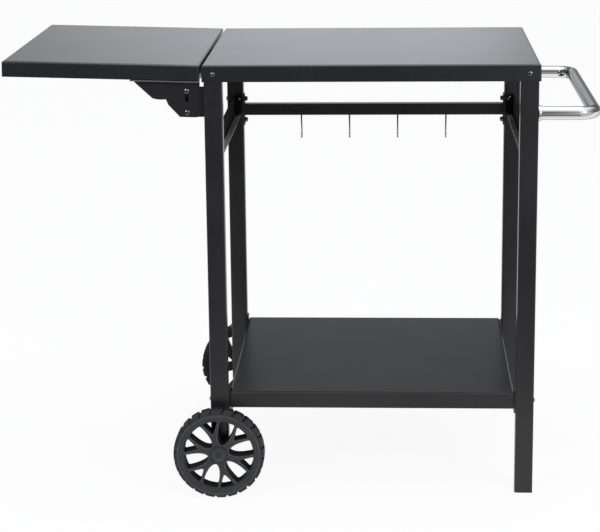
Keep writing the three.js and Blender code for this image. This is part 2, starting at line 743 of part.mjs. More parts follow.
// A dimpled cap that plugs the hub's outer end, about the Y axis
function capSolid() {
  const half = wheelWidth / 2;
  const low = half - capHeight / 2 + clearance;
  const high = low + capHeight;
  const rim = capDiameter / 2;
  const edge = capHeight / 3;
  const floor = high - capDimpleDepth;
  return turned([[0, low], [rim, low], [rim, high - edge], [rim - edge, high], [capDimple, high],
    [capDimple - edge, floor], [0, floor]], turnedSides);
}

function runningGear() {
  const wheel = wheelSolid();
  const cap = capSolid();
  const along = (distance) => vector(0, distance, 0);
  const spacer = cut(rod(spacerDiameter / 2, along(0), along(wheelGap - clearance), turnedSides),
    rod(axleDiameter / 2 + holePlay, along(-overrun), along(wheelGap + overrun), turnedSides));
  const x = legMiddleX('left');
  const pieces = [];
  const offset = wheelGap + wheelWidth / 2;
  for (const end of ends) {
    const outerFace = end === 'front' ? legYs.front : legYs.rear + legDepth;
    const outward = vector(0, -backward[end], 0);
    const seat = vector(x, outerFace, axleHeight);
    const centre = seat.clone().addScaledVector(outward, offset);
    pieces.push(aim(piece(`wheel_${end}`, wheel, plastic), centre, outward),
      aim(piece(`wheel_cap_${end}`, cap, plastic), centre, outward),
      aim(piece(`axle_spacer_${end}`, spacer, plastic), seat, outward));
  }
  const tip = legYs.front - wheelGap - wheelWidth + capHeight / 2 + clearance;
  const [from, to] = [tip, topDepth - tip].map((y) => vector(x, y, axleHeight));
  return [...pieces, piece('axle', rod(axleDiameter / 2, from, to, turnedSides), plated)];
}

// Faces of the swinging and fixed plates along Y at one end of the cart, nearest the outside first
const linkFaces = (end) => {
  const inset = (distance) => (end === 'front' ? distance : topDepth - distance);
  const back = linkSetback + linkSheet;
  return {
    link: ordered(inset(linkSetback), inset(back)),
    stay: ordered(inset(back + clearance), inset(back + clearance + linkSheet)),
    flange: ordered(inset(sheet + clearance), inset(back)),
    seat: inset(linkSetback - clearance),
  };
};

// Grip of the bolts that pass both plates: head to nut, with a running clearance on each side
const linkGrip = 2 * linkSheet + 3 * clearance;

// The hole for a bolt that runs along Y through a plate
const pinHole = (x, y0, y1, z) => rod(
  boltRadius + holePlay, vector(x, y0 - overrun, z), vector(x, y1 + overrun, z));

// The fixed channels on the left legs. The outer plate is open above the pivot so that the lock bolt
// can swing out, with the rear wall behind it.
function stays() {
  const face = legXs.left;
  const arm = pivotX + stayArm;
  const low = pivotZ - linkFoot;
  const high = pivotZ + stayRise;
  const corners = [[pivotX - stayLobe, low, linkFoot], [face, low], [face, high], [arm, high, boltRadius],
    [arm, pivotZ + stayLobe, boltRadius], [pivotX - stayLobe, pivotZ + stayLobe, linkFoot]];
  return ends.map((end) => {
    const [y0, y1] = linkFaces(end).stay;
    const plate = slabXZ(roundedOutline(corners), y0, y1);
    const [f0, f1] = end === 'front' ? [y0, y1 + stayFlange] : [y0 - stayFlange, y1];
    const flange = block(face - linkSheet, face, f0, f1, low, high);
    const [w0, w1] = end === 'front' ? [f1 - linkSheet, f1] : [f0, f0 + linkSheet];
    const wall = slabXZ(rectangle(pivotX - stayBack, face, pivotZ + stayLobe, high, 0), w0, w1);
    const hole = pinHole(pivotX, y0, y1, pivotZ);
    return piece(`fold_stay_${end}`, cut(join(plate, flange, wall), hole), paint);
  });
}

function pivotBolts() {
  const bolt = boltSolid(linkGrip);
  return ends.map((end) => aim(piece(`pivot_bolt_${end}`, bolt, darkBolt),
    vector(pivotX, linkFaces(end).seat, pivotZ), vector(0, backward[end], 0)));
}

// The side shelf and what turns with it, about the pivot line as its own origin
function sideShelf() {
  const group = new THREE.Group();
  group.position.set(pivotX, 0, pivotZ);
  group.rotation.y = sideTilt;
  const left = sideRight - sideWidth;
  const under = pivotDrop - sideFlange;
  const folded = tray(sideWidth, topDepth, sideFlange).translate([left, 0, pivotDrop]);
  const lips = ends.map((end) => {
    const [y0, y1] = end === 'front' ? [sheet / 2, lipDepth] : [topDepth - lipDepth, topDepth - sheet / 2];
    return block(left + bend, sideRight - bend, y0, y1, under, under + sheet);
  });
  group.add(piece('side_shelf', join(folded, ...lips), topPaint));
  const stiffener = hat(left + sheet + hatEndGap, sideRight - sheet - hatEndGap, topDepth / 2)
    .translate([0, 0, pivotDrop - sheet - clearance]);
  group.add(piece('side_shelf_stiffener', stiffener, paint));

  const top = under - clearance;
  const outline = new THREE.Shape();
  outline.moveTo(sideRight, top);
  outline.lineTo(sideRight - linkReach, top);
  outline.lineTo(-linkArcEnd, linkArcRise);
  const sagAt = -(linkArcEnd + linkNotch) / 2;
  outline.quadraticCurveTo(sagAt, linkArcRise - linkArcSag, -linkNotch, linkNotchRise);
  outline.lineTo(-linkKnee, linkKneeRise);
  outline.lineTo(-linkToe, -linkFoot);
  outline.lineTo(linkRight - linkCorner, -linkFoot);
  outline.quadraticCurveTo(linkRight, -linkFoot, linkRight, linkCorner - linkFoot);
  outline.lineTo(linkRight, linkShoulder);
  outline.lineTo(sideRight, linkShoulder);
  outline.closePath();
  const bolt = boltSolid(linkGrip);
  for (const end of ends) {
    const faces = linkFaces(end);
    const [y0, y1] = faces.link;
    const plate = slabXZ(outline, y0, y1);
    const [f0, f1] = faces.flange;
    const flange = block(sideRight - linkReach, sideRight, f0, f1, top - linkSheet, top);
    const slotEnds = [lockRise, lockRise - lockTravel].map((z) => pinHole(-lockOffset, y0, y1, z));
    const slot = wasm.Manifold.hull(slotEnds);
    const link = cut(join(plate, flange), pinHole(0, y0, y1, 0), slot);
    group.add(piece(`fold_link_${end}`, link, paint));
    group.add(aim(piece(`lock_bolt_${end}`, bolt, darkBolt), vector(-lockOffset, faces.seat, lockRise),
      vector(0, backward[end], 0)));
  }
  return group;
}

cart.add(...worktop(), ...legs(), ...sideRails(), rearBar(), ...hooks(), ...lowerShelf(), ...fasteners(),
  ...handle(), ...runningGear(), ...stays(), ...pivotBolts(), sideShelf());

// The origin is on the floor, under the middle of the cart's bounding box
const bounds = new THREE.Box3().setFromObject(cart);
const middle = bounds.getCenter(new THREE.Vector3());
cart.position.set(-middle.x, -middle.y, -bounds.min.z);
const assembly = new THREE.Group();
assembly.add(cart);

export default assembly;
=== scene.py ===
"""Dresses the barbecue cart: smooth folded sheet, tube, a moulded wheel, polished steel and paint.

Everything is in metres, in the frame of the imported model: X runs from the side shelf to the handle,
Y from the front to the rail with the hooks, and Z is up from the floor.
"""

from __future__ import annotations

import json
import logging
import math
from dataclasses import dataclass
from enum import Enum
from functools import cache
from typing import Any, Callable, Iterable, Sequence, Union

import bmesh
import bpy
from mathutils import Matrix, Vector

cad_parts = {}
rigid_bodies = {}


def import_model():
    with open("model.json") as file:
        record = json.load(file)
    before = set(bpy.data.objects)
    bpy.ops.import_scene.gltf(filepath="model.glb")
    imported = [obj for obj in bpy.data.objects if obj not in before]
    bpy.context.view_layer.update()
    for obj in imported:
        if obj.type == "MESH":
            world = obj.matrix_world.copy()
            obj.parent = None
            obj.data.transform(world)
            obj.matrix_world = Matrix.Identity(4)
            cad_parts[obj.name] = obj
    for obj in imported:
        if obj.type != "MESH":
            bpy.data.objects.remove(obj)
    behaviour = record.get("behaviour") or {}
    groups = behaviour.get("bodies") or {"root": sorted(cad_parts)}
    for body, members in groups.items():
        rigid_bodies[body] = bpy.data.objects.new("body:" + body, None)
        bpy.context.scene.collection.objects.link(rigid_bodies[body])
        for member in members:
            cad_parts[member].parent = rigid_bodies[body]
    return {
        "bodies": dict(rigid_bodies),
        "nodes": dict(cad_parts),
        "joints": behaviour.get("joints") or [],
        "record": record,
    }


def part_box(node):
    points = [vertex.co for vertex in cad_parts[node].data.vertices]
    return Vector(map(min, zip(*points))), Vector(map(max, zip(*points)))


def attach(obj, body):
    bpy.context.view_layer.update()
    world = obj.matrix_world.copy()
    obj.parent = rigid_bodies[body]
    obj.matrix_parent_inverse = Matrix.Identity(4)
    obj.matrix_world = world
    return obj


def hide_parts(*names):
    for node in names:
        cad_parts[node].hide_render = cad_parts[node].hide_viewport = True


LOG = logging.getLogger("cart")
QUARTER = math.pi / 2
SHADE = "shade"  # the attribute that marked() writes and a finish with a depth reads
FACING = "facing"  # the attribute that tells where each scattered copy faces
ENDS = ("front", "rear")
SIDES = ("left", "right")
HOOK_COUNT = 4
TINY = 1e-6  # a length or a slope that counts as none
SHARP = 1e-5  # the radius of a corner that stays sharp
MITRE = 0.5  # a pointed corner moves at most by the distance divided by this
Object = bpy.types.Object
Loop = list[Vector]
Box = tuple[Vector, Vector]
Pair = tuple[float, float]
Triple = tuple[float, float, float]
Colour = Triple


class Axis(Enum):
    """The direction in which a flat outline gets its thickness, with the plane it is drawn in."""

    X = Matrix(((0, 0, 1), (1, 0, 0), (0, 1, 0)))
    Y = Matrix(((1, 0, 0), (0, 0, 1), (0, 1, 0)))
    Z = Matrix(((1, 0, 0), (0, 1, 0), (0, 0, 1)))


class Body(Enum):
    """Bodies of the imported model, beside those of the hooks."""

    FRAME = "frame"
    LEAF = "side_shelf_leaf"
    LOCK_FRONT = "lock_front"
    LOCK_REAR = "lock_rear"
    WHEEL_FRONT = "rolling_wheel_front"
    WHEEL_REAR = "rolling_wheel_rear"


# ------------------------------------------------------------------ shader and node trees


class Value:
    """A node's output that takes part in sums, each of which adds its Math node."""

    def __init__(self, graph: Graph, socket: bpy.types.NodeSocket) -> None:
        """Wraps a socket of one of the graph's nodes."""
        self.graph = graph
        self.socket = socket

    def _math(self, operation: str, first: Operand, second: Operand) -> Value:
        """Adds one Math node and gives its result."""
        return self.graph.out(self.graph.node("ShaderNodeMath", {0: first, 1: second}, operation=operation))

    def __add__(self, other: Operand) -> Value:
        """Adds a value."""
        return self._math("ADD", self, other)

    def __sub__(self, other: Operand) -> Value:
        """Subtracts a value."""
        return self._math("SUBTRACT", self, other)

    def __rsub__(self, other: Operand) -> Value:
        """Subtracts this from a value."""
        return self._math("SUBTRACT", other, self)

    def __mul__(self, other: Operand) -> Value:
        """Multiplies by a value."""
        return self._math("MULTIPLY", self, other)

    def __truediv__(self, other: Operand) -> Value:
        """Divides by a value."""
        return self._math("DIVIDE", self, other)

    __radd__ = __add__
    __rmul__ = __mul__

    def most(self, other: Operand) -> Value:
        """Gives the larger of the two."""
        return self._math("MAXIMUM", self, other)

    def step(self, low: float, high: float) -> Value:
        """Rises smoothly from 0 at the low value to 1 at the high one."""
        ends = {"Value": self, "From Min": low, "From Max": high}
        return self.graph.out(self.graph.node("ShaderNodeMapRange", ends, interpolation_type="SMOOTHSTEP"))


Operand = Union[Value, float]


class Graph:
    """A node tree that is written as calls and sums."""

    def __init__(self, tree: bpy.types.NodeTree) -> None:
        """Starts with an empty tree."""
        self.tree = tree
        tree.nodes.clear()

    def node(self, kind: str, inputs: dict[str | int, Any] | None = None, **settings: Any) -> bpy.types.Node:
        """Adds a node.

        Args:
            kind: Blender's name of the node's type.
            inputs: values, sockets or whole nodes for its sockets, by name or number.
            **settings: the node's own settings.

        Returns:
            The new node.
        """
        made = self.tree.nodes.new(kind)
        for name, setting in settings.items():
            setattr(made, name, setting)
        for name, given in (inputs or {}).items():
            source = given.socket if isinstance(given, Value) else given
            if isinstance(source, bpy.types.Node):
                source = source.outputs[0]
            if isinstance(source, bpy.types.NodeSocket):
                self.tree.links.new(source, made.inputs[name])
            else:
                made.inputs[name].default_value = source
        return made

    def out(self, node: bpy.types.Node, name: str | int = 0) -> Value:
        """Wraps one of a node's outputs."""
        return Value(self, node.outputs[name])

    def noise(self, where: bpy.types.NodeSocket, scale: float, detail: float) -> Value:
        """Adds a noise pattern from 0 to 1, with its patches to the metre and its octaves."""
        pattern = {"Vector": where, "Scale": scale, "Detail": detail}
        return self.out(self.node("ShaderNodeTexNoise", pattern), "Fac")

    def blend(self, share: Value, low: Colour | Value, high: Colour | Value) -> Value:
        """Mixes two colours, the first where the share is 0 and the second where it is 1."""
        a, b = (colour if isinstance(colour, Value) else (*colour, 1.0) for colour in (low, high))
        return self.out(self.node("ShaderNodeMix", {"Factor": share, 6: a, 7: b}, data_type="RGBA"), 2)

    def place(self, kind: str) -> list[Value]:
        """Gives a place's three coordinates of one kind, such as Object."""
        split = self.node("ShaderNodeSeparateXYZ", {0: self.node("ShaderNodeTexCoord").outputs[kind]})
        return [self.out(split, axis) for axis in "XYZ"]

    def rays(self) -> tuple[Value, Value]:
        """Tells two kinds of rays from the rest.

        Returns:
            1 for rays straight from the camera, and 1 for those by way of metal, gloss or glass.
        """
        path = self.node("ShaderNodeLightPath")
        mirrored = self.out(path, "Is Glossy Ray").most(self.out(path, "Is Transmission Ray"))
        return self.out(path, "Is Camera Ray"), mirrored


def new_material(name: str) -> tuple[bpy.types.Material, Graph]:
    """Makes an empty material.

    Args:
        name: its name.

    Returns:
        The material and its node graph.
    """
    material = bpy.data.materials.new(name)
    material.use_nodes = True
    return material, Graph(material.node_tree)


# ------------------------------------------------------------------ finishes


@dataclass(frozen=True)
class SurfaceFinish:
    """A finish whose colour and roughness wander a little over a fine grain.

    Where it has a depth, the colour falls to that as the mesh's shade goes to 0, the roughness changes by
    depth_rough and the coat goes; so the shade attribute paints light and shade into the colour. The rim is
    the tint that a metal takes where it is seen edge on.
    """

    name: str
    slot: str
    colour: Colour
    roughness: float
    metallic: float = 0.0
    specular: float = 0.5
    rim: Colour = (1.0, 1.0, 1.0)
    wander: float = 0.12
    patch: float = 9.0
    patch_detail: float = 3.0
    patch_ends: Pair = (0.3, 0.7)
    rough_wander: float = 0.08
    grain: float = 900.0
    grain_detail: float = 2.0
    grain_depth: float = 0.00004
    coat: float = 0.0
    coat_roughness: float = 0.2
    depth: Colour | None = None
    depth_rough: float = 0.0

    def material(self) -> bpy.types.Material:
        """Builds the finish from Object coordinates.

        Returns:
            The material.
        """
        made, graph = new_material(self.name)
        where = graph.node("ShaderNodeTexCoord").outputs["Object"]
        broad = graph.noise(where, self.patch, self.patch_detail)
        fine = graph.noise(where, self.grain, self.grain_detail)
        ends = (1 - self.wander, 1 + self.wander)
        dark, light = (tuple(min(1.0, c * share) for c in self.colour) for share in ends)
        colour = graph.blend(broad.step(*self.patch_ends), dark, light)
        rough = self.roughness + (broad + fine - 1.0) * self.rough_wander
        coat: Operand = self.coat
        # The shade attribute paints light and shade into the colour: where it is 0 the depth colour, where 1
        # the finish's own.
        if self.depth:
            lit = graph.out(graph.node("ShaderNodeAttribute", attribute_name=SHADE), "Fac")
            colour = graph.blend(lit, self.depth, colour)
            rough = rough + (1 - lit) * self.depth_rough
            coat = lit * self.coat
        surface = {
            "Base Color": colour,
            "Roughness": rough,
            "Metallic": self.metallic,
            "Specular IOR Level": self.specular,
            "Specular Tint": (*self.rim, 1.0),
            "Coat Weight": coat,
            "Coat Roughness": self.coat_roughness,
            "Normal": graph.node("ShaderNodeBump", {"Distance": self.grain_depth, "Height": fine}),
        }
        graph.node("ShaderNodeOutputMaterial", {"Surface": graph.node("ShaderNodeBsdfPrincipled", surface)})
        return made


class Finish(Enum):
    """The finishes of the cart."""

    TOP = SurfaceFinish(
        "top_coat", "top_paint", (0.0150, 0.0156, 0.0176), 0.15, specular=0.6, wander=0.08, rough_wander=0.05,
    )
    # The lower shelf's copy of the top's paint (same slot), with a lighter colour that is painted light for
    # the shade it sits in.
    SHELF = SurfaceFinish(
        "shelf_coat", "top_paint", (0.0212, 0.0206, 0.0214), 0.37, specular=0.37, wander=0.08,
        rough_wander=0.05,
    )
    FRAME = SurfaceFinish("frame_coat", "frame_paint", (0.0150, 0.0146, 0.0162), 0.28)
    # Painted light on the side rails: the flange's upper face gets a light grey and a glossy coat as a
    # painted highlight and reflection; the web gets the near-black depth colour as painted shade.
    RAIL = SurfaceFinish(
        "rail_coat", "frame_paint", (0.66, 0.65, 0.635), 0.6, specular=0.15, coat=0.5,
        depth=(0.0090, 0.0088, 0.0086), depth_rough=0.4,
    )
    # Painted highlight on the swinging plates: the rounded nose of the top flange gets a lighter grey as a
    # painted lit strip; the rest keeps the frame paint's colour.
    HEM = SurfaceFinish(
        "hem_coat", "frame_paint", (0.10, 0.098, 0.10), 0.4, depth=(0.0150, 0.0146, 0.0162),
        depth_rough=-0.12,
    )
    BOLT = SurfaceFinish(
        "black_zinc", "black_bolt", (0.2, 0.2, 0.205), 0.18, metallic=1.0, rough_wander=0.04, grain=1800.0,
        grain_depth=0.000003,
    )
    # Painted light on the hooks: the bowl of each wire gets the light steel colour as a painted highlight for
    # its glints, and the shank gets the near-black depth colour as painted shade.
    WIRE = SurfaceFinish(
        "stainless_wire", "bare_steel", (0.6, 0.595, 0.585), 0.12, metallic=1.0, rim=(0.2, 0.2, 0.2),
        wander=0.06, depth=(0.05, 0.049, 0.048),
    )
    STEEL = SurfaceFinish("plain_steel", "bare_steel", (0.42, 0.415, 0.41), 0.3, metallic=1.0, wander=0.1)
    POLISHED = SurfaceFinish(
        "polished_tube", "polished_steel", (0.86, 0.855, 0.84), 0.07, metallic=1.0, rim=(0.45, 0.45, 0.46),
        wander=0.03, rough_wander=0.04, grain_depth=0.000003,
    )
    PLASTIC = SurfaceFinish(
        "hub_plastic", "wheel_plastic", (0.036, 0.036, 0.040), 0.5, specular=0.45, wander=0.2, patch=60.0,
        grain_depth=0.00008,
    )
    # The wheel's plastic with painted light and shade: its shade attribute darkens the opening walls, grooves
    # and inner side to the depth colour as painted shade, and lightens raised edges and the ridge as painted
    # highlights.
    WHEEL = SurfaceFinish(
        "wheel_plastic", "wheel_plastic", (0.058, 0.058, 0.064), 0.5, specular=0.45, wander=0.15, patch=60.0,
        grain_depth=0.00008, depth=(0.004, 0.004, 0.004), depth_rough=0.35,
    )
    PLUG = SurfaceFinish("plug_plastic", "plug_plastic", (0.012, 0.012, 0.012), 0.5)


@cache
def material_of(finish: Finish) -> bpy.types.Material:
    """Gives a finish's material, built the first time it is asked for."""
    return finish.value.material()


# ------------------------------------------------------------------ meshes


def linked(name: str, data: bpy.types.ID) -> Object:
    """Makes an object and links it to the scene.

    Args:
        name: its name.
        data: its mesh, curve, camera or lamp.

    Returns:
        The object.
    """
    made = bpy.data.objects.new(name, data)
    bpy.context.scene.collection.objects.link(made)
    return made


def mesh_object(
    name: str,
    points: Iterable[Vector],
    edges: Sequence[tuple[int, int]] = (),
    faces: Sequence[tuple[int, ...]] = (),
) -> Object:
    """Makes an object of points with edges or faces.

    Args:
        name: its name.
        points: the points.
        edges: pairs of the points' numbers.
        faces: rings of the points' numbers.

    Returns:
        The object.
    """
    mesh = bpy.data.meshes.new(name)
    mesh.from_pydata([tuple(p) for p in points], list(edges), list(faces))
    return linked(name, mesh)


def outward(obj: Object, weld: float = 0.0) -> Object:
    """Turns a mesh's faces outwards.

    Args:
        obj: the object.
        weld: points nearer than this are joined first.

    Returns:
        The same object.
    """
    edit = bmesh.new()
    edit.from_mesh(obj.data)
    if weld:
        bmesh.ops.remove_doubles(edit, verts=edit.verts, dist=weld)
    bmesh.ops.recalc_face_normals(edit, faces=edit.faces)
    edit.to_mesh(obj.data)
    edit.free()
    return obj


class Mesh:
    """Vertices and faces that are drawn ring by ring."""

    def __init__(self) -> None:
        """Starts empty."""
        self.points: Loop = []
        self.faces: list[tuple[int, ...]] = []

    def ring(self, loop: Iterable[Vector]) -> range:
        """Adds a ring of vertices and gives their numbers."""
        self.points.extend(added := list(loop))
        return range(len(self.points) - len(added), len(self.points))

    def bridge(self, low: Sequence[int], high: Sequence[int]) -> None:
        """Joins two rings by quads, outward if the rings run anticlockwise seen from the second."""
        for a, b, c, d in zip(low, (*low[1:], low[0]), (*high[1:], high[0]), high):
            self.faces.append((a, b, c, d))

    def cap(self, ring: Sequence[int], up: bool) -> None:
        """Closes a ring, facing the way it runs anticlockwise or the other."""
        self.faces.append(tuple(ring if up else reversed(ring)))

    def stack(self, loops: Iterable[Iterable[Vector]], closed: bool = True) -> list[range]:
        """Joins rings one after the other.

        Args:
            loops: the rings' points, all of one count.
            closed: whether the first and last ring get a cap.

        Returns:
            The rings' vertex numbers.
        """
        rings = [self.ring(loop) for loop in loops]
        for low, high in zip(rings, rings[1:]):
            self.bridge(low, high)
        if closed:
            self.cap(rings[0], False)
            self.cap(rings[-1], True)
        return rings

    def tube(self, loops: Iterable[Iterable[Vector]]) -> None:
        """Joins rings one after the other, and the last one to the first."""
        rings = self.stack(loops, closed=False)
        self.bridge(rings[-1], rings[0])

    def object(self, name: str) -> Object:
        """Makes an object of it, with its faces turned outwards."""
        return outward(mesh_object(name, self.points, faces=self.faces))


def rounded(corners: Sequence[tuple[float, ...]], steps: int = 5) -> Loop:
    """Rounds an outline's corners by arcs.

    Args:
        corners: each corner's two coordinates and, where it is rounded, its radius.
        steps: parts of each arc.

    Returns:
        The outline's points, with height zero.
    """
    loop: Loop = []
    points = [Vector((*corner[:2], 0.0)) for corner in corners]
    for i, (here, corner) in enumerate(zip(points, corners)):
        radius = corner[2] if len(corner) > 2 else 0.0
        if radius <= 0:
            loop.append(here)
            continue
        before = (points[i - 1] - here).normalized()
        after = (points[(i + 1) % len(points)] - here).normalized()
        half = before.angle(after) / 2
        middle = here + (before + after).normalized() * (radius / math.sin(half))
        start = here + before * (radius / math.tan(half)) - middle
        end = here + after * (radius / math.tan(half)) - middle
        turn = start.angle(end)
        for k in range(steps + 1):
            share = k / steps
            point = start * math.sin((1 - share) * turn) + end * math.sin(share * turn)
            loop.append(middle + point / math.sin(turn))
    return loop


def rectangle(low: Sequence[float], high: Sequence[float], radius: float, steps: int = 5) -> Loop:
    """Draws a rectangle between two corners, anticlockwise, with rounded corners of so many steps."""
    (x0, y0), (x1, y1), radius = low[:2], high[:2], max(radius, SHARP)
    return rounded([(x0, y0, radius), (x1, y0, radius), (x1, y1, radius), (x0, y1, radius)], steps)


def polar(radius: float, angle: float) -> Vector:
    """Gives a point by its radius and angle."""
    return Vector((radius * math.cos(angle), radius * math.sin(angle), 0.0))


def circle(radius: float, count: int, start: float = 0.0) -> Loop:
    """Draws a circle about the origin."""
    return [polar(radius, start + 2 * math.pi * i / count) for i in range(count)]


def bezier(a: Vector, b: Vector, c: Vector, d: Vector, steps: int) -> Loop:
    """Draws a curve from its start, both handles and its end."""
    shares = ((k / steps, 1 - k / steps) for k in range(steps + 1))
    return [a * s ** 3 + b * (3 * s * s * t) + c * (3 * s * t * t) + d * t ** 3 for t, s in shares]


def grown(loop: Loop, distance: float) -> Loop:
    """Moves an outline outwards by the same distance everywhere.

    Args:
        loop: the outline.
        distance: how far; a negative one moves it inwards.

    Returns:
        The new outline.
    """
    following = loop[1:] + loop[:1]
    area = sum(a.x * b.y - b.x * a.y for a, b in zip(loop, following))
    side = math.copysign(1.0, area) * distance
    moved: Loop = []
    for before, here, after in zip(loop[-1:] + loop[:-1], loop, following):
        first, second = (here - before).normalized(), (after - here).normalized()
        out = Vector((first.y + second.y, -first.x - second.x, 0.0)).normalized()
        reach = max(out.dot(Vector((first.y, -first.x, 0.0))), MITRE)
        moved.append(here + out * (side / reach))
    return moved


def lifted(loop: Iterable[Vector], height: float) -> Loop:
    """Moves an outline to a height."""
    return [Vector((p.x, p.y, height)) for p in loop]


def slab(name: str, loop: Loop, axis: Axis, low: float, high: float, edge: float = 0.0003) -> Object:
    """Gives a flat outline its thickness and breaks its edges.

    Args:
        name: the object's name.
        loop: the outline, in the axis's plane.
        axis: the direction of the thickness.
        low: where the thickness starts.
        high: where it ends.
        edge: the width of the broken edges.

    Returns:
        The object.
    """
    mesh = Mesh()
    mesh.stack([lifted(loop, low), lifted(loop, high)])
    mesh.points = [axis.value @ p for p in mesh.points]
    made = mesh.object(name)
    return soften(made, edge) if edge else made


def lathe(name: str, profile: Sequence[Pair], count: int = 48) -> Object:
    """Turns a profile about the Z axis.

    Args:
        name: the object's name.
        profile: pairs of radius and height; it starts and ends on the axis or is closed.
        count: steps round the axis.

    Returns:
        The object.
    """
    mesh = Mesh()
    join = mesh.stack if profile[0][0] <= 0 else mesh.tube
    join([lifted(circle(r, count), z) for r, z in profile if r > 0])
    return mesh.object(name)


def baked(obj: Object) -> Object:
    """Applies an object's modifiers, and turns a curve into a mesh.

    Args:
        obj: the object, which is used up.

    Returns:
        A plain mesh object of the same name.
    """
    bpy.context.view_layer.update()
    graph = bpy.context.evaluated_depsgraph_get()
    mesh = bpy.data.meshes.new_from_object(
        obj.evaluated_get(graph), preserve_all_data_layers=True, depsgraph=graph
    )
    mesh.name = name = obj.name
    bpy.data.objects.remove(obj)
    return linked(name, mesh)


def soften(obj: Object, width: float, segments: int = 2, angle: float = 40.0) -> Object:
    """Rounds an object's sharp edges.

    Args:
        obj: the object, which is used up.
        width: the width of the rounding.
        segments: its steps.
        angle: edges sharper than this many degrees are rounded.

    Returns:
        The rounded object.
    """
    bevel = obj.modifiers.new("edges", "BEVEL")
    bevel.width, bevel.segments = width, segments
    bevel.limit_method, bevel.angle_limit = "ANGLE", math.radians(angle)
    return baked(obj)


def carved(obj: Object, cutters: Sequence[Object]) -> Object:
    """Cuts shapes out of an object.

    Args:
        obj: the object, which is used up.
        cutters: the shapes, which are removed afterwards.

    Returns:
        The cut object.
    """
    for cutter in cutters:
        cut = obj.modifiers.new("cut", "BOOLEAN")
        cut.operation, cut.solver, cut.object = "DIFFERENCE", "EXACT", cutter
    made = baked(obj)
    for cutter in cutters:
        bpy.data.objects.remove(cutter)
    return made


def merged(name: str, parts: Sequence[Object]) -> Object:
    """Makes one object of several, which are used up.

    Args:
        name: the new object's name.
        parts: the objects.

    Returns:
        The object.
    """
    edit = bmesh.new()
    for part in parts:
        edit.from_mesh(part.data)
        bpy.data.objects.remove(part)
    mesh = bpy.data.meshes.new(name)
    edit.to_mesh(mesh)
    edit.free()
    return linked(name, mesh)


def placed(obj: Object, where: Matrix) -> Object:
    """Moves a mesh within its object, which stays at the origin."""
    obj.data.transform(where)
    return obj


def marked(obj: Object, level: Callable[[Vector], float]) -> Object:
    """Notes a level for each point of a mesh, which its finish reads as its shade.

    Args:
        obj: the object.
        level: gives the level at a point.

    Returns:
        The same object.
    """
    shade = obj.data.attributes.new(SHADE, "FLOAT", "POINT")
    shade.data.foreach_set("value", [level(vertex.co) for vertex in obj.data.vertices])
    return obj


def hand_in(
    obj: Object, finish: Finish, body: Body | str, nodes: Sequence[str], angle: float = 32.0
) -> None:
    """Shades a piece smooth, gives it its finish and puts it on its body.

    Args:
        obj: the piece, which is used up.
        finish: its finish.
        body: the body it rides on.
        nodes: the CAD nodes it stands for.
        angle: edges sharper than this many degrees stay sharp.
    """
    obj.data.shade_smooth()
    obj.data.set_sharp_from_angle(angle=math.radians(angle))
    obj.modifiers.new("flat", "WEIGHTED_NORMAL").keep_sharp = True
    made = baked(obj)
    made.data.materials.clear()
    made.data.materials.append(material_of(finish))
    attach(made, body.value if isinstance(body, Body) else body)
    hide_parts(*nodes)
    LOG.info("%s: %d faces, for %s", made.name, len(made.data.polygons), ", ".join(nodes))


# ------------------------------------------------------------------ geometry node trees


class Recipe(Graph):
    """A Geometry Nodes tree with named inputs, run once on an object."""

    def __init__(self, name: str, inputs: dict[str, str]) -> None:
        """Makes the tree.

        Args:
            name: the tree's name.
            inputs: each input's name and kind, after the geometry.
        """
        tree = bpy.data.node_groups.new(name, "GeometryNodeTree")
        super().__init__(tree)
        self.sockets = {
            key: tree.interface.new_socket(key, in_out="INPUT", socket_type=f"NodeSocket{kind}")
            for key, kind in {"Geometry": "Geometry", **inputs}.items()
        }
        tree.interface.new_socket("Geometry", in_out="OUTPUT", socket_type="NodeSocketGeometry")
        self.given = self.node("NodeGroupInput").outputs

    def finish(self, geometry: bpy.types.Node, finish: Finish) -> None:
        """Ends the tree in Realize Instances and Set Material.

        Args:
            geometry: the node that made the shape.
            finish: its finish.
        """
        whole = self.node("GeometryNodeRealizeInstances", {0: geometry})
        painted = self.node("GeometryNodeSetMaterial", {"Geometry": whole, "Material": material_of(finish)})
        self.node("NodeGroupOutput", {0: painted})

    def run(self, obj: Object, values: dict[str, Any]) -> Object:
        """Runs the tree.

        Args:
            obj: the object with the points or the path, which is used up.
            values: each named input's value.

        Returns:
            What it made, as a plain mesh.
        """
        nodes = obj.modifiers.new(self.tree.name, "NODES")
        nodes.node_group = self.tree
        for key, value in values.items():
            nodes[self.sockets[key].identifier] = value
        return baked(obj)


@cache
def tube_recipe(finish: Finish) -> Recipe:
    """Makes the tree that sweeps a round section along a path with rounded bends.

    Args:
        finish: the tube's finish.

    Returns:
        The tree, with the inputs Radius, Bend, Bend steps and Sides.
    """
    inputs = {"Radius": "Float", "Bend": "Float", "Bend steps": "Int", "Sides": "Int"}
    recipe = Recipe(f"swept_{finish.value.name}", inputs)
    given = recipe.given
    path = recipe.node("GeometryNodeMeshToCurve", {"Mesh": given["Geometry"]})
    fillet = {"Curve": path, "Radius": given["Bend"], "Limit Radius": True, "Count": given["Bend steps"]}
    bent = recipe.node("GeometryNodeFilletCurve", fillet, mode="POLY")
    ring = {"Resolution": given["Sides"], "Radius": given["Radius"]}
    section = recipe.node("GeometryNodeCurvePrimitiveCircle", ring)
    swept = {"Curve": bent, "Profile Curve": section, "Fill Caps": True}
    recipe.finish(recipe.node("GeometryNodeCurveToMesh", swept), finish)
    return recipe


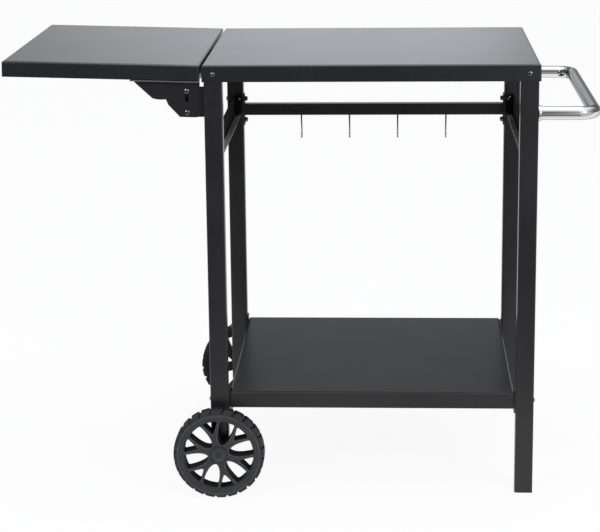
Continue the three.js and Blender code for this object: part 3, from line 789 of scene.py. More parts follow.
def scatter_recipe(name: str, finish: Finish) -> Recipe:
    """Makes the tree that puts a copy of one shape at each point, turned to the point's facing.

    Args:
        name: the tree's name.
        finish: the copies' finish.

    Returns:
        The tree, with the input Shape.
    """
    recipe = Recipe(name, {"Shape": "Object"})
    given = recipe.given
    facing = recipe.node("GeometryNodeInputNamedAttribute", {"Name": FACING}, data_type="FLOAT_VECTOR")
    turn = recipe.node("FunctionNodeAlignRotationToVector", {"Vector": facing.outputs["Attribute"]}, axis="Z")
    shape = recipe.node("GeometryNodeObjectInfo", {"Object": given["Shape"]}, transform_space="ORIGINAL")
    copies = {"Points": given["Geometry"], "Instance": shape.outputs["Geometry"], "Rotation": turn}
    recipe.finish(recipe.node("GeometryNodeInstanceOnPoints", copies), finish)
    return recipe


def radial_recipe(name: str, finish: Finish) -> Recipe:
    """Makes the tree that repeats a sector round the Z axis and joins its seams.

    Args:
        name: the tree's name.
        finish: the sectors' finish.

    Returns:
        The tree, with the inputs Count and Seam.
    """
    recipe = Recipe(name, {"Count": "Int", "Seam": "Float"})
    given = recipe.given
    marks = recipe.node("GeometryNodeMeshLine", {"Count": given["Count"], "Offset": (0.0, 0.0, 0.0)})
    angle = recipe.out(recipe.node("GeometryNodeInputIndex")) * (2 * math.pi) / Value(recipe, given["Count"])
    turn = recipe.node("ShaderNodeCombineXYZ", {"Z": angle})
    copies = {"Points": marks, "Instance": given["Geometry"], "Rotation": turn}
    sectors = recipe.node("GeometryNodeInstanceOnPoints", copies)
    whole = recipe.node("GeometryNodeRealizeInstances", {0: sectors})
    seams = {"Geometry": whole, "Distance": given["Seam"]}
    recipe.finish(recipe.node("GeometryNodeMergeByDistance", seams), finish)
    return recipe


@dataclass(frozen=True)
class Tube:
    """A round section that is swept along a path, whose corners it rounds."""

    finish: Finish
    radius: float
    sides: int
    bend: float = 0.0
    bend_steps: int = 1

    def along(self, name: str, points: Sequence[Vector], closed: bool = False) -> Object:
        """Sweeps the section.

        Args:
            name: the object's name.
            points: the path.
            closed: whether its end joins its start.

        Returns:
            The tube.
        """
        count = len(points)
        edges = [(i, (i + 1) % count) for i in range(count if closed else count - 1)]
        bend = {"Bend": self.bend, "Bend steps": self.bend_steps}
        values = {"Radius": self.radius, "Sides": self.sides, **bend}
        return tube_recipe(self.finish).run(mesh_object(name, points, edges), values)


# ------------------------------------------------------------------ sub-assemblies


def middle_of(box: Box) -> Vector:
    """Gives a box's middle."""
    return (box[0] + box[1]) / 2


@dataclass
class Tray:
    """A sheet folded down on four sides."""

    node: str
    finish: Finish = Finish.TOP
    body: Body = Body.FRAME
    sheet: float = 0.0012
    bend: float = 0.005
    bend_steps: int = 7
    corner: float = 0.0028
    corner_least: float = 0.0003
    corner_steps: int = 4
    lip: float = 0.0
    lip_corner: float = 0.0005

    def _shell(self, low: Vector, high: Vector, inside: float) -> list[Loop]:
        """Draws one side of the sheet from the flange's rim up over the fold.

        Args:
            low: the lowest corner.
            high: the highest corner.
            inside: how much less than the outer side's its radii are.

        Returns:
            The rings, lowest first.
        """
        bend, corner = self.bend - inside, self.corner - inside
        rings = [lifted(rectangle(low, high, corner, self.corner_steps), low.z)]
        for k in range(self.bend_steps + 1):
            angle = QUARTER * k / self.bend_steps
            inset = Vector((1.0, 1.0, 0.0)) * (bend * (1 - math.cos(angle)))
            radius = max(corner - inset.x, self.corner_least)
            loop = rectangle(low + inset, high - inset, radius, self.corner_steps)
            rings.append(lifted(loop, high.z - bend * (1 - math.sin(angle))))
        return rings

    def build(self, box: Box, where: Matrix) -> None:
        """Builds the tray.

        Args:
            box: its lowest and highest corner, before it is placed.
            where: where it goes.
        """
        low, high = box
        sheet = Vector((self.sheet, self.sheet, 0.0))
        roof = high - sheet - Vector((0.0, 0.0, self.sheet))
        mesh = Mesh()
        mesh.stack([*reversed(self._shell(low + sheet, roof, self.sheet)), *self._shell(low, high, 0.0)])
        parts = [mesh.object(f"{self.node}_sheet")]
        if self.lip:
            for y0, y1 in ((low.y, low.y + self.lip), (high.y - self.lip, high.y)):
                loop = rectangle((low.x + self.bend, y0), (high.x - self.bend, y1), self.lip_corner, 1)
                parts.append(slab(f"{self.node}_lip", loop, Axis.Z, low.z, low.z + self.sheet))
        whole = placed(merged(f"{self.node}_sheet_metal", parts), where)
        hand_in(whole, self.finish, self.body, [self.node])


@dataclass
class Legs:
    """The four tube legs with their plugs and feet."""

    corner: float = 0.003
    corner_steps: int = 6
    wall: float = 0.0012
    plug: float = 0.003
    plug_edge: float = 0.0008
    edge_share: float = 0.3
    cup_play: float = 1.2
    sharp: float = 50.0

    def build(self) -> None:
        """Builds each leg and what closes it below."""
        for end in ENDS:
            for side in SIDES:
                self._leg(f"leg_{end}_{side}")
                self._plug(f"{'leg_plug' if side == 'left' else 'foot'}_{end}_{side}")

    def _ring(self, box: Box, inset: float, height: float, inner: bool = False) -> Loop:
        """Draws the tube's section, drawn in by an inset, at a height."""
        d, corner = Vector((inset, inset, 0.0)), self.corner - (self.wall if inner else 0.0)
        return lifted(rectangle(box[0] + d, box[1] - d, corner, self.corner_steps), height)

    def _leg(self, node: str) -> None:
        """Builds one open tube.

        Args:
            node: the leg's node.
        """
        low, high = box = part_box(node)
        outer = [self._ring(box, 0.0, z) for z in (low.z, high.z)]
        bore = [self._ring(box, self.wall, z, True) for z in (high.z, low.z)]
        mesh = Mesh()
        mesh.tube(outer + bore)
        hand_in(mesh.object(f"{node}_tube"), Finish.FRAME, Body.FRAME, [node], self.sharp)

    def _plug(self, node: str) -> None:
        """Builds one plug's flange and the cup inside the tube.

        Args:
            node: the plug's node.
        """
        low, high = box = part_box(node)
        edge, share = self.plug_edge, self.plug_edge * self.edge_share
        profile = [(edge, 0.0), (share, share), (0.0, edge), (0.0, self.plug)]
        loops = [self._ring(box, inset, low.z + z) for inset, z in profile]
        loops += [self._ring(box, self.wall * self.cup_play, z, True) for z in (low.z + self.plug, high.z)]
        mesh = Mesh()
        mesh.stack(loops)
        hand_in(mesh.object(f"{node}_moulding"), Finish.PLUG, Body.FRAME, [node], self.sharp)


@dataclass
class Rails:
    """The folded angles between the legs and the channel that carries the hooks."""

    sheet: float = 0.0015
    edge: float = 0.0002
    bend: float = 0.0032
    flange: float = 0.014
    tab: float = 0.017
    tab_height: float = 0.040
    tab_corner: float = 0.003
    plate: float = 0.0025
    plate_corner: float = 0.005
    channel: float = 0.020
    channel_height: float = 0.025
    strip: float = 0.005
    hole_width: float = 0.009
    hole_depth: float = 0.0115
    hole_corner: float = 0.001
    hole_run: float = 3.0
    near: float = 0.0001

    def build(self) -> None:
        """Builds both side rails and the rear rail."""
        for side in SIDES:
            self._side(side)
        self._rear()

    def _side(self, side: str) -> None:
        """Builds one angle with its screw tabs.

        Args:
            side: left or right.
        """
        node = f"side_rail_{side}"
        low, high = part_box(node)
        inward, web = (1, low.x) if side == "left" else (-1, high.x)
        s = self.sheet
        corners = [
            (0.0, low.z, self.bend), (self.flange, low.z), (self.flange, low.z + s),
            (s, low.z + s, self.bend - s), (s, high.z), (0.0, high.z),
        ]
        loop = rounded([(web + inward * c[0], *c[1:]) for c in corners])
        parts = [slab("angle", loop, Axis.Y, low.y, high.y, self.edge)]
        x0, x1 = sorted((web, web + inward * (s + self.tab)))
        outline = rectangle((x0, high.z - self.tab_height), (x1, high.z), self.tab_corner)
        parts += [slab("tab", outline, Axis.Y, y, y + s, self.edge) for y in (low.y, high.y - s)]

        def lip(point: Vector) -> float:
            """Tells the flange's upper face, which gets the painted highlight, from the web and the rest,
            which get painted shade.
            """
            over = inward * (point.x - web) > self.bend - self.near
            return float(over and abs(point.z - low.z - s) < self.edge + self.near)

        hand_in(marked(merged(f"{node}_angle", parts), lip), Finish.RAIL, Body.FRAME, [node])

    def _rear(self) -> None:
        """Builds the channel with its hook holes and end plates."""
        low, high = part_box("rear_bar")
        centre = middle_of((low, high))
        s, bend = self.sheet, self.bend
        y0, y1 = centre.y - self.channel / 2, centre.y + self.channel / 2
        z0, z1 = centre.z - self.channel_height / 2, centre.z + self.channel_height / 2
        corners = [
            (y0, z0, bend), (y1, z0), (y1, z0 + s), (y0 + s, z0 + s, bend - s),
            (y0 + s, z1 - s, bend - s), (y1, z1 - s), (y1, z1), (y0, z1, bend),
        ]
        bar = slab("channel", rounded(corners), Axis.X, low.x + self.plate / 2, high.x - self.plate / 2, 0.0)
        holes = []
        for i in range(HOOK_COUNT):
            x, half, far = middle_of(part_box(f"hook_{i + 1}")).x, self.hole_width / 2, y1 - self.strip
            outline = rectangle((x - half, far - self.hole_depth), (x + half, far), self.hole_corner)
            holes.append(slab("hole", outline, Axis.Z, z0 - s, z0 + s * self.hole_run, 0.0))
        parts = [soften(carved(bar, holes), self.edge, segments=1)]
        outline = rectangle((low.y, low.z), (high.y, high.z), self.plate_corner)
        parts += [slab("plate", outline, Axis.X, x, x + self.plate) for x in (low.x, high.x - self.plate)]
        hand_in(merged("rear_rail_channel", parts), Finish.FRAME, Body.FRAME, ["rear_bar"])


@dataclass
class Hooks:
    """S-hooks of round wire, each on a body of its own."""

    wire: float = 0.0017
    sides: int = 16
    crook: float = 0.0067
    bowl: float = 0.0095
    reach: float = 0.047
    crook_tail: float = math.radians(-28)
    bowl_tail: float = math.radians(205)
    painted_glint_height: float = 0.0165
    painted_glint_fade: float = 0.003
    steps: int = 16

    def _arc(self, middle: Vector, radius: float, start: float, end: float) -> Loop:
        """Draws an arc in the plane of Y and Z.

        Args:
            middle: its middle.
            radius: its radius.
            start: the angle where it starts, from Y towards Z.
            end: the angle where it ends.

        Returns:
            Its points.
        """
        count = math.ceil(self.steps * abs(end - start) / math.pi)
        turn = (end - start) / count
        return [middle + Axis.X.value @ polar(radius, start + turn * k) for k in range(count + 1)]

    def _path(self) -> Loop:
        """Draws the S about the middle of its upper crook, hanging in balance.

        Returns:
            The wire's middle line.
        """
        low = Vector((0.0, -self.crook - self.bowl, self.bowl + self.wire - self.reach))
        path = self._arc(Vector(), self.crook, self.crook_tail, math.pi)
        path += self._arc(low, self.bowl, 0.0, -self.bowl_tail)
        weight = sum(((a + b) * (a - b).length for a, b in zip(path, path[1:])), Vector())
        lean = math.atan2(-weight.y, -weight.z)
        return [Matrix.Rotation(lean, 3, "X") @ p for p in path]

    def build(self, joints: Sequence[dict[str, Any]]) -> None:
        """Builds each hook about its joint.

        Args:
            joints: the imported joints.
        """
        middles = {j["child"]: Vector(j["pos_m"]) for j in joints if j["name"].endswith("_swing")}
        path = self._path()
        for i in range(HOOK_COUNT):
            node = f"hook_{i + 1}"
            body = f"hanging_{node}"
            points = [middles[body] + p for p in path]
            wire = Tube(Finish.WIRE, self.wire, self.sides).along(f"{node}_wire", points)
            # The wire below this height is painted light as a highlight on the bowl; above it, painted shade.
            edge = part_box(node)[0].z + self.painted_glint_height
            marked(wire, lambda p: min(1.0, max(0.0, (edge - p.z) / self.painted_glint_fade)))
            hand_in(wire, Finish.WIRE, body, [node])


@dataclass
class Handle:
    """The polished push handle and its collars."""

    bend: float = 0.032
    sides: int = 32
    bend_steps: int = 14
    edge_share: float = 0.2
    ease_share: float = 0.3

    def build(self) -> None:
        """Sweeps the tube and turns the collars."""
        low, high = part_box("handle")
        radius = (high.z - low.z) / 2
        z = middle_of((low, high)).z
        y0, y1 = (middle_of(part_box(f"handle_collar_{end}")).y for end in ENDS)
        grip = high.x - radius
        path = [Vector((x, y, z)) for x, y in ((low.x, y0), (grip, y0), (grip, y1), (low.x, y1))]
        tube = Tube(Finish.POLISHED, radius, self.sides, self.bend, self.bend_steps)
        hand_in(tube.along("handle_tube", path), Finish.POLISHED, Body.FRAME, ["handle"])
        for end in ENDS:
            node = f"handle_collar_{end}"
            low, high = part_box(node)
            outer, length = (high.z - low.z) / 2, high.x - low.x
            edge = length * self.edge_share
            ease = edge * self.ease_share
            profile = [
                (radius, 0.0), (outer, 0.0), (outer, length - edge), (outer - ease, length - ease),
                (outer - edge, length), (radius, length),
            ]
            centre = middle_of((low, high))
            where = Matrix.Translation((low.x, centre.y, centre.z)) @ Matrix.Rotation(QUARTER, 4, "Y")
            hand_in(placed(lathe(f"{node}_ring", profile), where), Finish.POLISHED, Body.FRAME, [node])


@dataclass
class Wheel:
    """A moulded wheel: lugged tread, sidewall ring, forked spokes with raised edges, and its hub cap.

    The sections are rows of distances, inwards from the radius or the ring that they belong to and down from
    the wheel's or the cap's side.
    """

    end: str
    lugs: int = 24
    lug_depth: float = 0.0040
    lug_rows: int = 6
    groove: float = 0.0056
    groove_walls: tuple[Pair, ...] = ((0.0, 1.0), (0.55, 1.0), (0.9, 0.25), (1.1, 0.0))
    skew: float = math.radians(16)
    seam: float = 0.00001
    rim: float = 0.070
    ridge: float = 0.0795
    ridge_section: tuple[Pair, ...] = ((0.0015, 0.0018), (0.0006, 0.0), (-0.0006, 0.0002), (-0.0018, 0.0008))
    sink: float = 0.0018
    tread_section: tuple[Triple, ...] = ((0.003, 0.0012, 0.5), (0.0012, 0.0030, 0.9), (0.0002, 0.0060, 1.0))
    tread_rows: Pair = (0.45, 0.16)
    spokes: int = 6
    spoke_half: float = 0.015
    petal_turn: float = math.radians(14)
    petal_start: float = 0.020
    petal_half: float = math.radians(12.4)
    petal_handles: tuple[Pair, ...] = tuple(
        (math.hypot(along, across), math.atan2(across, along))
        for along, across in ((0.024, 0.010), (0.040, 0.015))
    )
    petal_corner: float = 0.0028
    petal_steps: int = 9
    petal_end_steps: int = 7
    window_start: float = 0.0415
    window_half: float = math.radians(12.4)
    window_corner: float = 0.0021
    window_end_steps: int = 6
    opening_end: float = 0.068
    sharp_turn: float = 0.5
    corner_room: float = 0.95
    corner_steps: int = 4
    disc_over: float = 0.003
    disc_sides: int = 96
    hub: float = 0.0165
    hub_foot: float = 0.0015
    hub_section: tuple[Pair, ...] = ((0.0, 0.0022), (0.0007, 0.0007), (0.0022, 0.0))
    hub_gap: float = 0.0002
    seat: float = 0.0138
    seat_depth: float = 0.0016
    cap_section: tuple[Pair, ...] = ((0.0, 0.0010), (0.0005, 0.0003), (0.0014, 0.0))
    ring: float = 0.0064
    ring_section: tuple[Pair, ...] = (
        (0.0, 0.0), (0.0007, 0.0005), (0.0012, 0.0024), (0.0026, 0.0024), (0.0031, 0.0010), (0.0038, 0.0006),
    )
    cap_dip: float = 0.0004
    bead: float = 0.0012
    bead_sides: int = 8
    bead_inset: float = 0.0018
    edge: float = 0.001
    edge_steps: int = 2
    # Painted light levels: the outer face's, the inner side's (painted shade) and the grooves' (painted
    # shade).
    face_level: float = 0.5
    inner_level: float = 0.05
    groove_level: float = 0.2
    groove_start: float = 0.003
    groove_share: float = 0.7
    near: float = 0.0002
    rim_near: float = 0.0004
    hub_near: float = 0.0006
    ridge_near: float = 0.0008
    sharp: float = 38.0
    cap_sharp: float = 45.0

    def build(self) -> None:
        """Builds the wheel and its cap on the wheel's body."""
        node = f"wheel_{self.end}"
        low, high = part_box(node)
        radius, half = (high.z - low.z) / 2, (high.y - low.y) / 2
        out = -1.0 if self.end == "front" else 1.0
        turn = Matrix(((1, 0, 0, 0), (0, 0, out, 0), (0, -out, 0, 0), (0, 0, 0, 1)))
        where = Matrix.Translation(middle_of((low, high))) @ turn
        body = Body[f"WHEEL_{self.end.upper()}"]
        parts = [self._tyre(radius, half), self._spokes(), self._beads(), self._hub(half)]
        whole = marked(merged(f"{node}_moulding", parts), lambda point: self._level(point, radius))
        hand_in(placed(whole, where), Finish.WHEEL, body, [node], self.sharp)
        self._cap(where, body)

    def _level(self, point: Vector, radius: float) -> float:
        """Tells the painted light level of a point: deep walls 0, grooves and the inner side low as painted
        shade, raised edges and the ridge 1 as painted highlights.

        Args:
            point: a point of the wheel, about the Z axis with its outer side up.
            radius: the wheel's radius.

        Returns:
            The level.
        """
        r, z = math.hypot(point.x, point.y), point.z
        wall = self.spoke_half - self.edge + self.near / 2
        level = self.face_level if z > 0 else self.inner_level
        if r < self.rim + self.rim_near:
            if r <= self.hub + self.hub_near:
                return level
            if abs(z) < wall or r > self.rim - self.rim_near:
                return 0.0
            return 1.0 if z > self.spoke_half + self.near else level
        if abs(r - self.ridge) < self.ridge_near and z > 0:
            return 1.0
        if self.ridge + self.groove_start < r < radius - self.lug_depth * self.groove_share:
            return min(level, self.groove_level)
        return level

    def _section(self, radius: float, half: float) -> list[Triple]:
        """Draws the tyre's section from the outer rim edge over the tread to the inner one.

        Args:
            radius: the wheel's radius.
            half: half of its width.

        Returns:
            Radius, place across the wheel and depth of the groove there, point by point.
        """
        face = half - self.sink
        outer = [(self.rim, face - self.edge, 0.0), (self.rim + self.edge, face, 0.0)]
        outer += [(self.ridge - r, half - down, 0.0) for r, down in self.ridge_section]
        outer += [(radius - r, half - down, g) for r, down, g in self.tread_section]
        outer += [(radius, half * share, 1.0) for share in self.tread_rows]
        return outer + [(radius, 0.0, 1.0)] + [(r, -z, g) for r, z, g in reversed(outer)]

    def _tyre(self, radius: float, half: float) -> Object:
        """Repeats one lug's sector round the wheel.

        Args:
            radius: the wheel's radius.
            half: half of its width.

        Returns:
            The tyre and rim, about the Z axis.
        """
        pitch = 2 * math.pi / self.lugs
        edge = self.groove / radius / 2
        lean = math.tan(self.skew) / radius
        walls = [(edge * share - pitch / 2, depth) for share, depth in self.groove_walls]
        left = [*walls, (-pitch / self.lug_rows, 0.0)]
        section = self._section(radius, half)

        def row(angle: float, depth: float) -> Loop:
            """Draws the section at an angle, sunk by a share of the grooves' depth."""
            places = [(r - self.lug_depth * depth * g, angle + lean * abs(z), z) for r, z, g in section]
            return [polar(r, a) + Vector((0.0, 0.0, z)) for r, a, z in places]

        mesh = Mesh()
        mesh.stack([row(*at) for at in left + [(-a, depth) for a, depth in reversed(left)]], closed=False)
        recipe = radial_recipe("tread", Finish.PLASTIC)
        return outward(recipe.run(mesh.object("tread_sector"), {"Count": self.lugs, "Seam": self.seam}))

    def _end(self, angle: float, half: float, steps: int) -> Loop:
        """Draws the end of an opening along the rim."""
        return [polar(self.opening_end, angle + half * (1 - 2 * k / steps)) for k in range(steps + 1)]

    def _petal(self, angle: float) -> Loop:
        """Draws the large opening between two spokes.

        Args:
            angle: its direction.

        Returns:
            The outline.
        """
        def flank(side: float) -> Loop:
            """Draws one long edge, from the tip to the rim."""
            places = ((self.petal_start, 0.0), *self.petal_handles, (self.opening_end, self.petal_half))
            return bezier(*(polar(r, angle + side * turn) for r, turn in places), self.petal_steps)

        end = self._end(angle, self.petal_half, self.petal_end_steps)
        return self._eased(flank(1.0) + end[1:-1] + flank(-1.0)[:0:-1], self.petal_corner)

    def _window(self, angle: float) -> Loop:
        """Draws the small opening in a spoke's fork."""
        end = self._end(angle, self.window_half, self.window_end_steps)
        return self._eased([polar(self.window_start, angle), *end], self.window_corner)

    def _eased(self, loop: Loop, radius: float) -> Loop:
        """Rounds the sharp corners of an outline.

        Args:
            loop: the outline.
            radius: the corners' radius.

        Returns:
            The rounded outline.
        """
        corners = []
        for last, p, following in zip(loop[-1:] + loop[:-1], loop, loop[1:] + loop[:1]):
            before, after = last - p, following - p
            turn = math.pi - before.angle(after)
            fit = min(before.length, after.length) * self.corner_room / max(math.tan(turn / 2), TINY)
            corners.append((p.x, p.y, min(radius, fit)) if turn > self.sharp_turn else (p.x, p.y))
        return rounded(corners, self.corner_steps)

    def _openings(self, grow: float) -> list[Loop]:
        """Draws all openings, each made larger all round.

        Args:
            grow: by how much.

        Returns:
            The outlines.
        """
        loops = []
        for i in range(self.spokes):
            angle = self.petal_turn + 2 * math.pi * i / self.spokes
            loops += [self._petal(angle), self._window(angle + math.pi / self.spokes)]
        return [grown(loop, grow) for loop in loops]

    def _spokes(self) -> Object:
        """Fills the disc between hub and rim, with its openings and rounded edges.

        Returns:
            The spokes, about the Z axis.
        """
        curve = bpy.data.curves.new("spokes", "CURVE")
        curve.dimensions, curve.fill_mode = "2D", "BOTH"
        for loop in [circle(self.rim + self.disc_over, self.disc_sides), *self._openings(self.edge)]:
            spline = curve.splines.new("POLY")
            spline.points.add(len(loop) - 1)
            for point, p in zip(spline.points, loop):
                point.co = (p.x, p.y, 0.0, 1.0)
            spline.use_cyclic_u = True
        curve.extrude, curve.bevel_depth = self.spoke_half - self.edge, self.edge
        curve.bevel_resolution = self.edge_steps
        return outward(baked(linked("spokes", curve)), weld=TINY)

    def _beads(self) -> Object:
        """Runs a raised edge round each opening, on the outer face.

        Returns:
            The beads, about the Z axis.
        """
        tube = Tube(Finish.PLASTIC, self.bead, self.bead_sides)
        loops = enumerate(self._openings(self.bead_inset))
        return merged("beads", [tube.along(f"bead_{k}", lifted(p, self.spoke_half), True) for k, p in loops])

    def _hub(self, half: float) -> Object:
        """Turns the hub's boss with rounded shoulders.

        Args:
            half: half of the wheel's width.

        Returns:
            The hub, about the Z axis.
        """
        top, floor = half - self.hub_gap, half - self.hub_gap - self.seat_depth
        profile = [(0.0, -top), (self.hub - self.hub_foot, -top), (self.hub, self.hub_foot - top)]
        profile += [(self.hub - r, top - down) for r, down in self.hub_section]
        return lathe("hub", profile + [(self.seat, top), (self.seat, floor), (0.0, floor)])

    def _cap(self, where: Matrix, body: Body) -> None:
        """Turns the dimpled cap.

        Args:
            where: the wheel's place.
            body: the wheel's body.
        """
        node = f"wheel_cap_{self.end}"
        low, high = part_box(node)
        rim = (high.z - low.z) / 2
        top = max(abs(low.y), abs(high.y)) - abs(where.translation.y)
        base = top - (high.y - low.y)
        profile = [(0.0, base), (rim, base)] + [(rim - r, top - down) for r, down in self.cap_section]
        profile += [(self.ring - r, top - down) for r, down in self.ring_section]
        cap = lathe(f"{node}_moulding", profile + [(0.0, top - self.cap_dip)])
        hand_in(placed(cap, where), Finish.PLASTIC, body, [node], self.cap_sharp)


@dataclass
class Axle:
    """The axle and the spacers at the legs."""

    axle_edge: float = 0.0008
    spacer_edge: float = 0.0004

    def build(self) -> None:
        """Turns the axle with chamfered ends and both spacers."""
        self._bar("axle", Finish.STEEL, self.axle_edge)
        for end in ENDS:
            self._bar(f"axle_spacer_{end}", Finish.PLASTIC, self.spacer_edge)

    @staticmethod
    def _bar(node: str, finish: Finish, edge: float) -> None:
        """Turns one round piece along Y.

        Args:
            node: the node it stands for.
            finish: its finish.
            edge: the width of its chamfers.
        """
        low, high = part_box(node)
        radius, length = (high.z - low.z) / 2, high.y - low.y
        profile = [
            (0.0, 0.0), (radius - edge, 0.0), (radius, edge), (radius, length - edge),
            (radius - edge, length), (0.0, length),
        ]
        centre = middle_of((low, high))
        where = Matrix.Translation((centre.x, low.y, centre.z)) @ Matrix.Rotation(-QUARTER, 4, "X")
        hand_in(placed(lathe(f"{node}_turned", profile), where), finish, Body.FRAME, [node])


@dataclass
class ShelfBrackets:
    """The plates that carry the lower shelf."""

    nose: float = 0.010
    shoulder: float = 0.025
    corner: float = 0.0005

    def build(self) -> None:
        """Cuts the four plates."""
        middle, nose = middle_of(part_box("lower_shelf")).z, self.nose
        for node in (f"shelf_bracket_{end}_{side}" for end in ENDS for side in SIDES):
            low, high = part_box(node)
            start, far, away = (low.y, high.y, 1) if "front" in node else (high.y, low.y, -1)
            corners = [
                (start, low.z, nose), (far, low.z, nose), (far, middle, nose),
                (start + away * self.shoulder, high.z, nose / 2), (start, high.z, self.corner),
            ]
            plate = slab(f"{node}_plate", rounded(corners), Axis.X, low.x, high.x)
            hand_in(plate, Finish.FRAME, Body.FRAME, [node])


@dataclass
class FoldBracket:
    """The swinging plates under the side shelf and the fixed channels on the left legs.

    The plates' points are pairs of places along and up from the pivot.
    """

    leaf: Matrix
    sheet: float = 0.002
    edge: float = 0.0003
    hem: float = 0.0034
    hem_corner: float = 0.0016
    hem_steps: int = 3
    hem_share: float = 0.46
    nose_share: float = 0.4
    reach: float = 0.132
    shoulder: float = 0.048
    back: float = 0.008
    foot: float = 0.0092
    toe: float = 0.0143
    corner: float = 0.015
    tip_corner: float = 0.004
    notch_corner: float = 0.002
    knee_corner: float = 0.004
    toe_corner: float = 0.003
    knee: Pair = (-0.0367, 0.0137)
    notch: Pair = (-0.0413, 0.0242)
    arc_end: Pair = (-0.0668, 0.0255)
    sag: float = 0.0032
    steps: int = 6
    slot_half: float = 0.0034
    slot_roundness: float = 0.99
    lock: Pair = (-0.0013, 0.041)
    travel: float = 0.018
    lobe: float = 0.012
    lobe_corner: float = 0.009
    arm: float = 0.0047
    arm_corner: float = 0.003
    rise_corner: float = 0.0008
    wall_corner: float = 0.001
    wall_steps: int = 2

    def build(self, local: Callable[[str], Box]) -> None:
        """Builds both plates at both ends.

        Args:
            local: gives a node's box in the side shelf's own frame.
        """
        seam = local("side_shelf")[1].x
        for end in ENDS:
            self._link(end, local(f"fold_link_{end}"), seam)
            self._stay(end)

    def _skins(self, end: str, low: Vector, high: Vector) -> tuple[Pair, Pair]:
        """Tells where the sheets at a box's outer and inner side start and end in Y."""
        sheets = (low.y, low.y + self.sheet), (high.y - self.sheet, high.y)
        return sheets if end == "front" else sheets[::-1]

    def _outline(self, right: float, seam: float, top: float) -> Loop:
        """Draws the swinging plate about the pivot.

        Args:
            right: its right edge.
            seam: its right edge above the shoulder, in line with the side shelf.
            top: its top edge.

        Returns:
            The outline.
        """
        a, b = Vector((*self.arc_end, 0.0)), Vector((*self.notch, 0.0))
        dip = (a + b) / 2 - Vector((0.0, self.sag, 0.0))
        shares = (k / self.steps for k in range(self.steps))
        corners = [
            (right, self.shoulder), (seam, self.shoulder), (seam, top),
            (seam - self.reach, top, self.tip_corner),
            *(tuple(a.lerp(dip, k).lerp(dip.lerp(b, k), k))[:2] for k in shares),
            (*self.notch, self.notch_corner), (*self.knee, self.knee_corner),
            (-self.toe, -self.foot, self.toe_corner), (right, -self.foot, self.corner),
        ]
        return rounded(corners, self.steps)

    def _link(self, end: str, box: Box, seam: float) -> None:
        """Builds one swinging plate with its slot and its top flange.

        Args:
            end: front or rear.
            box: the plate's box in the side shelf's own frame.
            seam: the right edge of the side shelf in that frame.
        """
        low, high = box
        y0, y1 = self._skins(end, low, high)[1]
        plate = slab("link", self._outline(high.x, seam, high.z), Axis.Y, y0, y1, 0.0)
        (x, z), half = self.lock, self.slot_half
        foot = z - self.travel - half
        slot = rectangle((x - half, foot), (x + half, z + half), half * self.slot_roundness)
        plate = carved(plate, [slab("slot", slot, Axis.Y, y0 - self.sheet, y1 + self.sheet, 0.0)])
        f0, f1, front = (low.y, y1, low.y) if end == "front" else (y0, high.y, high.y)
        shelf = rectangle((low.x, f0), (seam, f1), self.hem_corner, self.hem_steps)
        flange = slab("flange", shelf, Axis.Z, high.z - self.hem, high.z, self.hem * self.hem_share)

        def nose(point: Vector) -> float:
            """Tells the flange's rounded edge, which gets the painted highlight, from the rest."""
            near = abs(point.z - high.z + self.hem / 2) < self.hem * self.nose_share
            return float(near and abs(point.y - front) < self.hem / 2)

        node = f"fold_link_{end}"
        whole = marked(merged(f"{node}_plate", [soften(plate, self.edge), flange]), nose)
        hand_in(placed(whole, self.leaf), Finish.HEM, Body.LEAF, [node])

    def _stay(self, end: str) -> None:
        """Builds one fixed channel: its outer plate, the flange that meets the leg and its rear wall.

        Args:
            end: front or rear.
        """
        node = f"fold_stay_{end}"
        low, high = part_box(node)
        pivot = self.leaf.translation
        outer, inner = self._skins(end, low, high)
        arm, lobe = pivot.x + self.arm, pivot.z + self.lobe
        corners = [
            (low.x, low.z, self.lobe_corner), (high.x, low.z), (high.x, high.z),
            (arm, high.z, self.arm_corner), (arm, lobe, self.arm_corner), (low.x, lobe, self.lobe_corner),
        ]
        rise = rectangle((high.x - self.sheet, low.y), (high.x, high.y), self.rise_corner, self.wall_steps)
        wall = rectangle((pivot.x - self.back, lobe), (high.x, high.z), self.wall_corner, self.wall_steps)
        parts = [
            slab("stay", rounded(corners), Axis.Y, *outer),
            slab("stay_flange", rise, Axis.Z, low.z, high.z),
            slab("stay_wall", wall, Axis.Y, *inner),
        ]
        hand_in(merged(f"{node}_channel", parts), Finish.FRAME, Body.FRAME, [node])


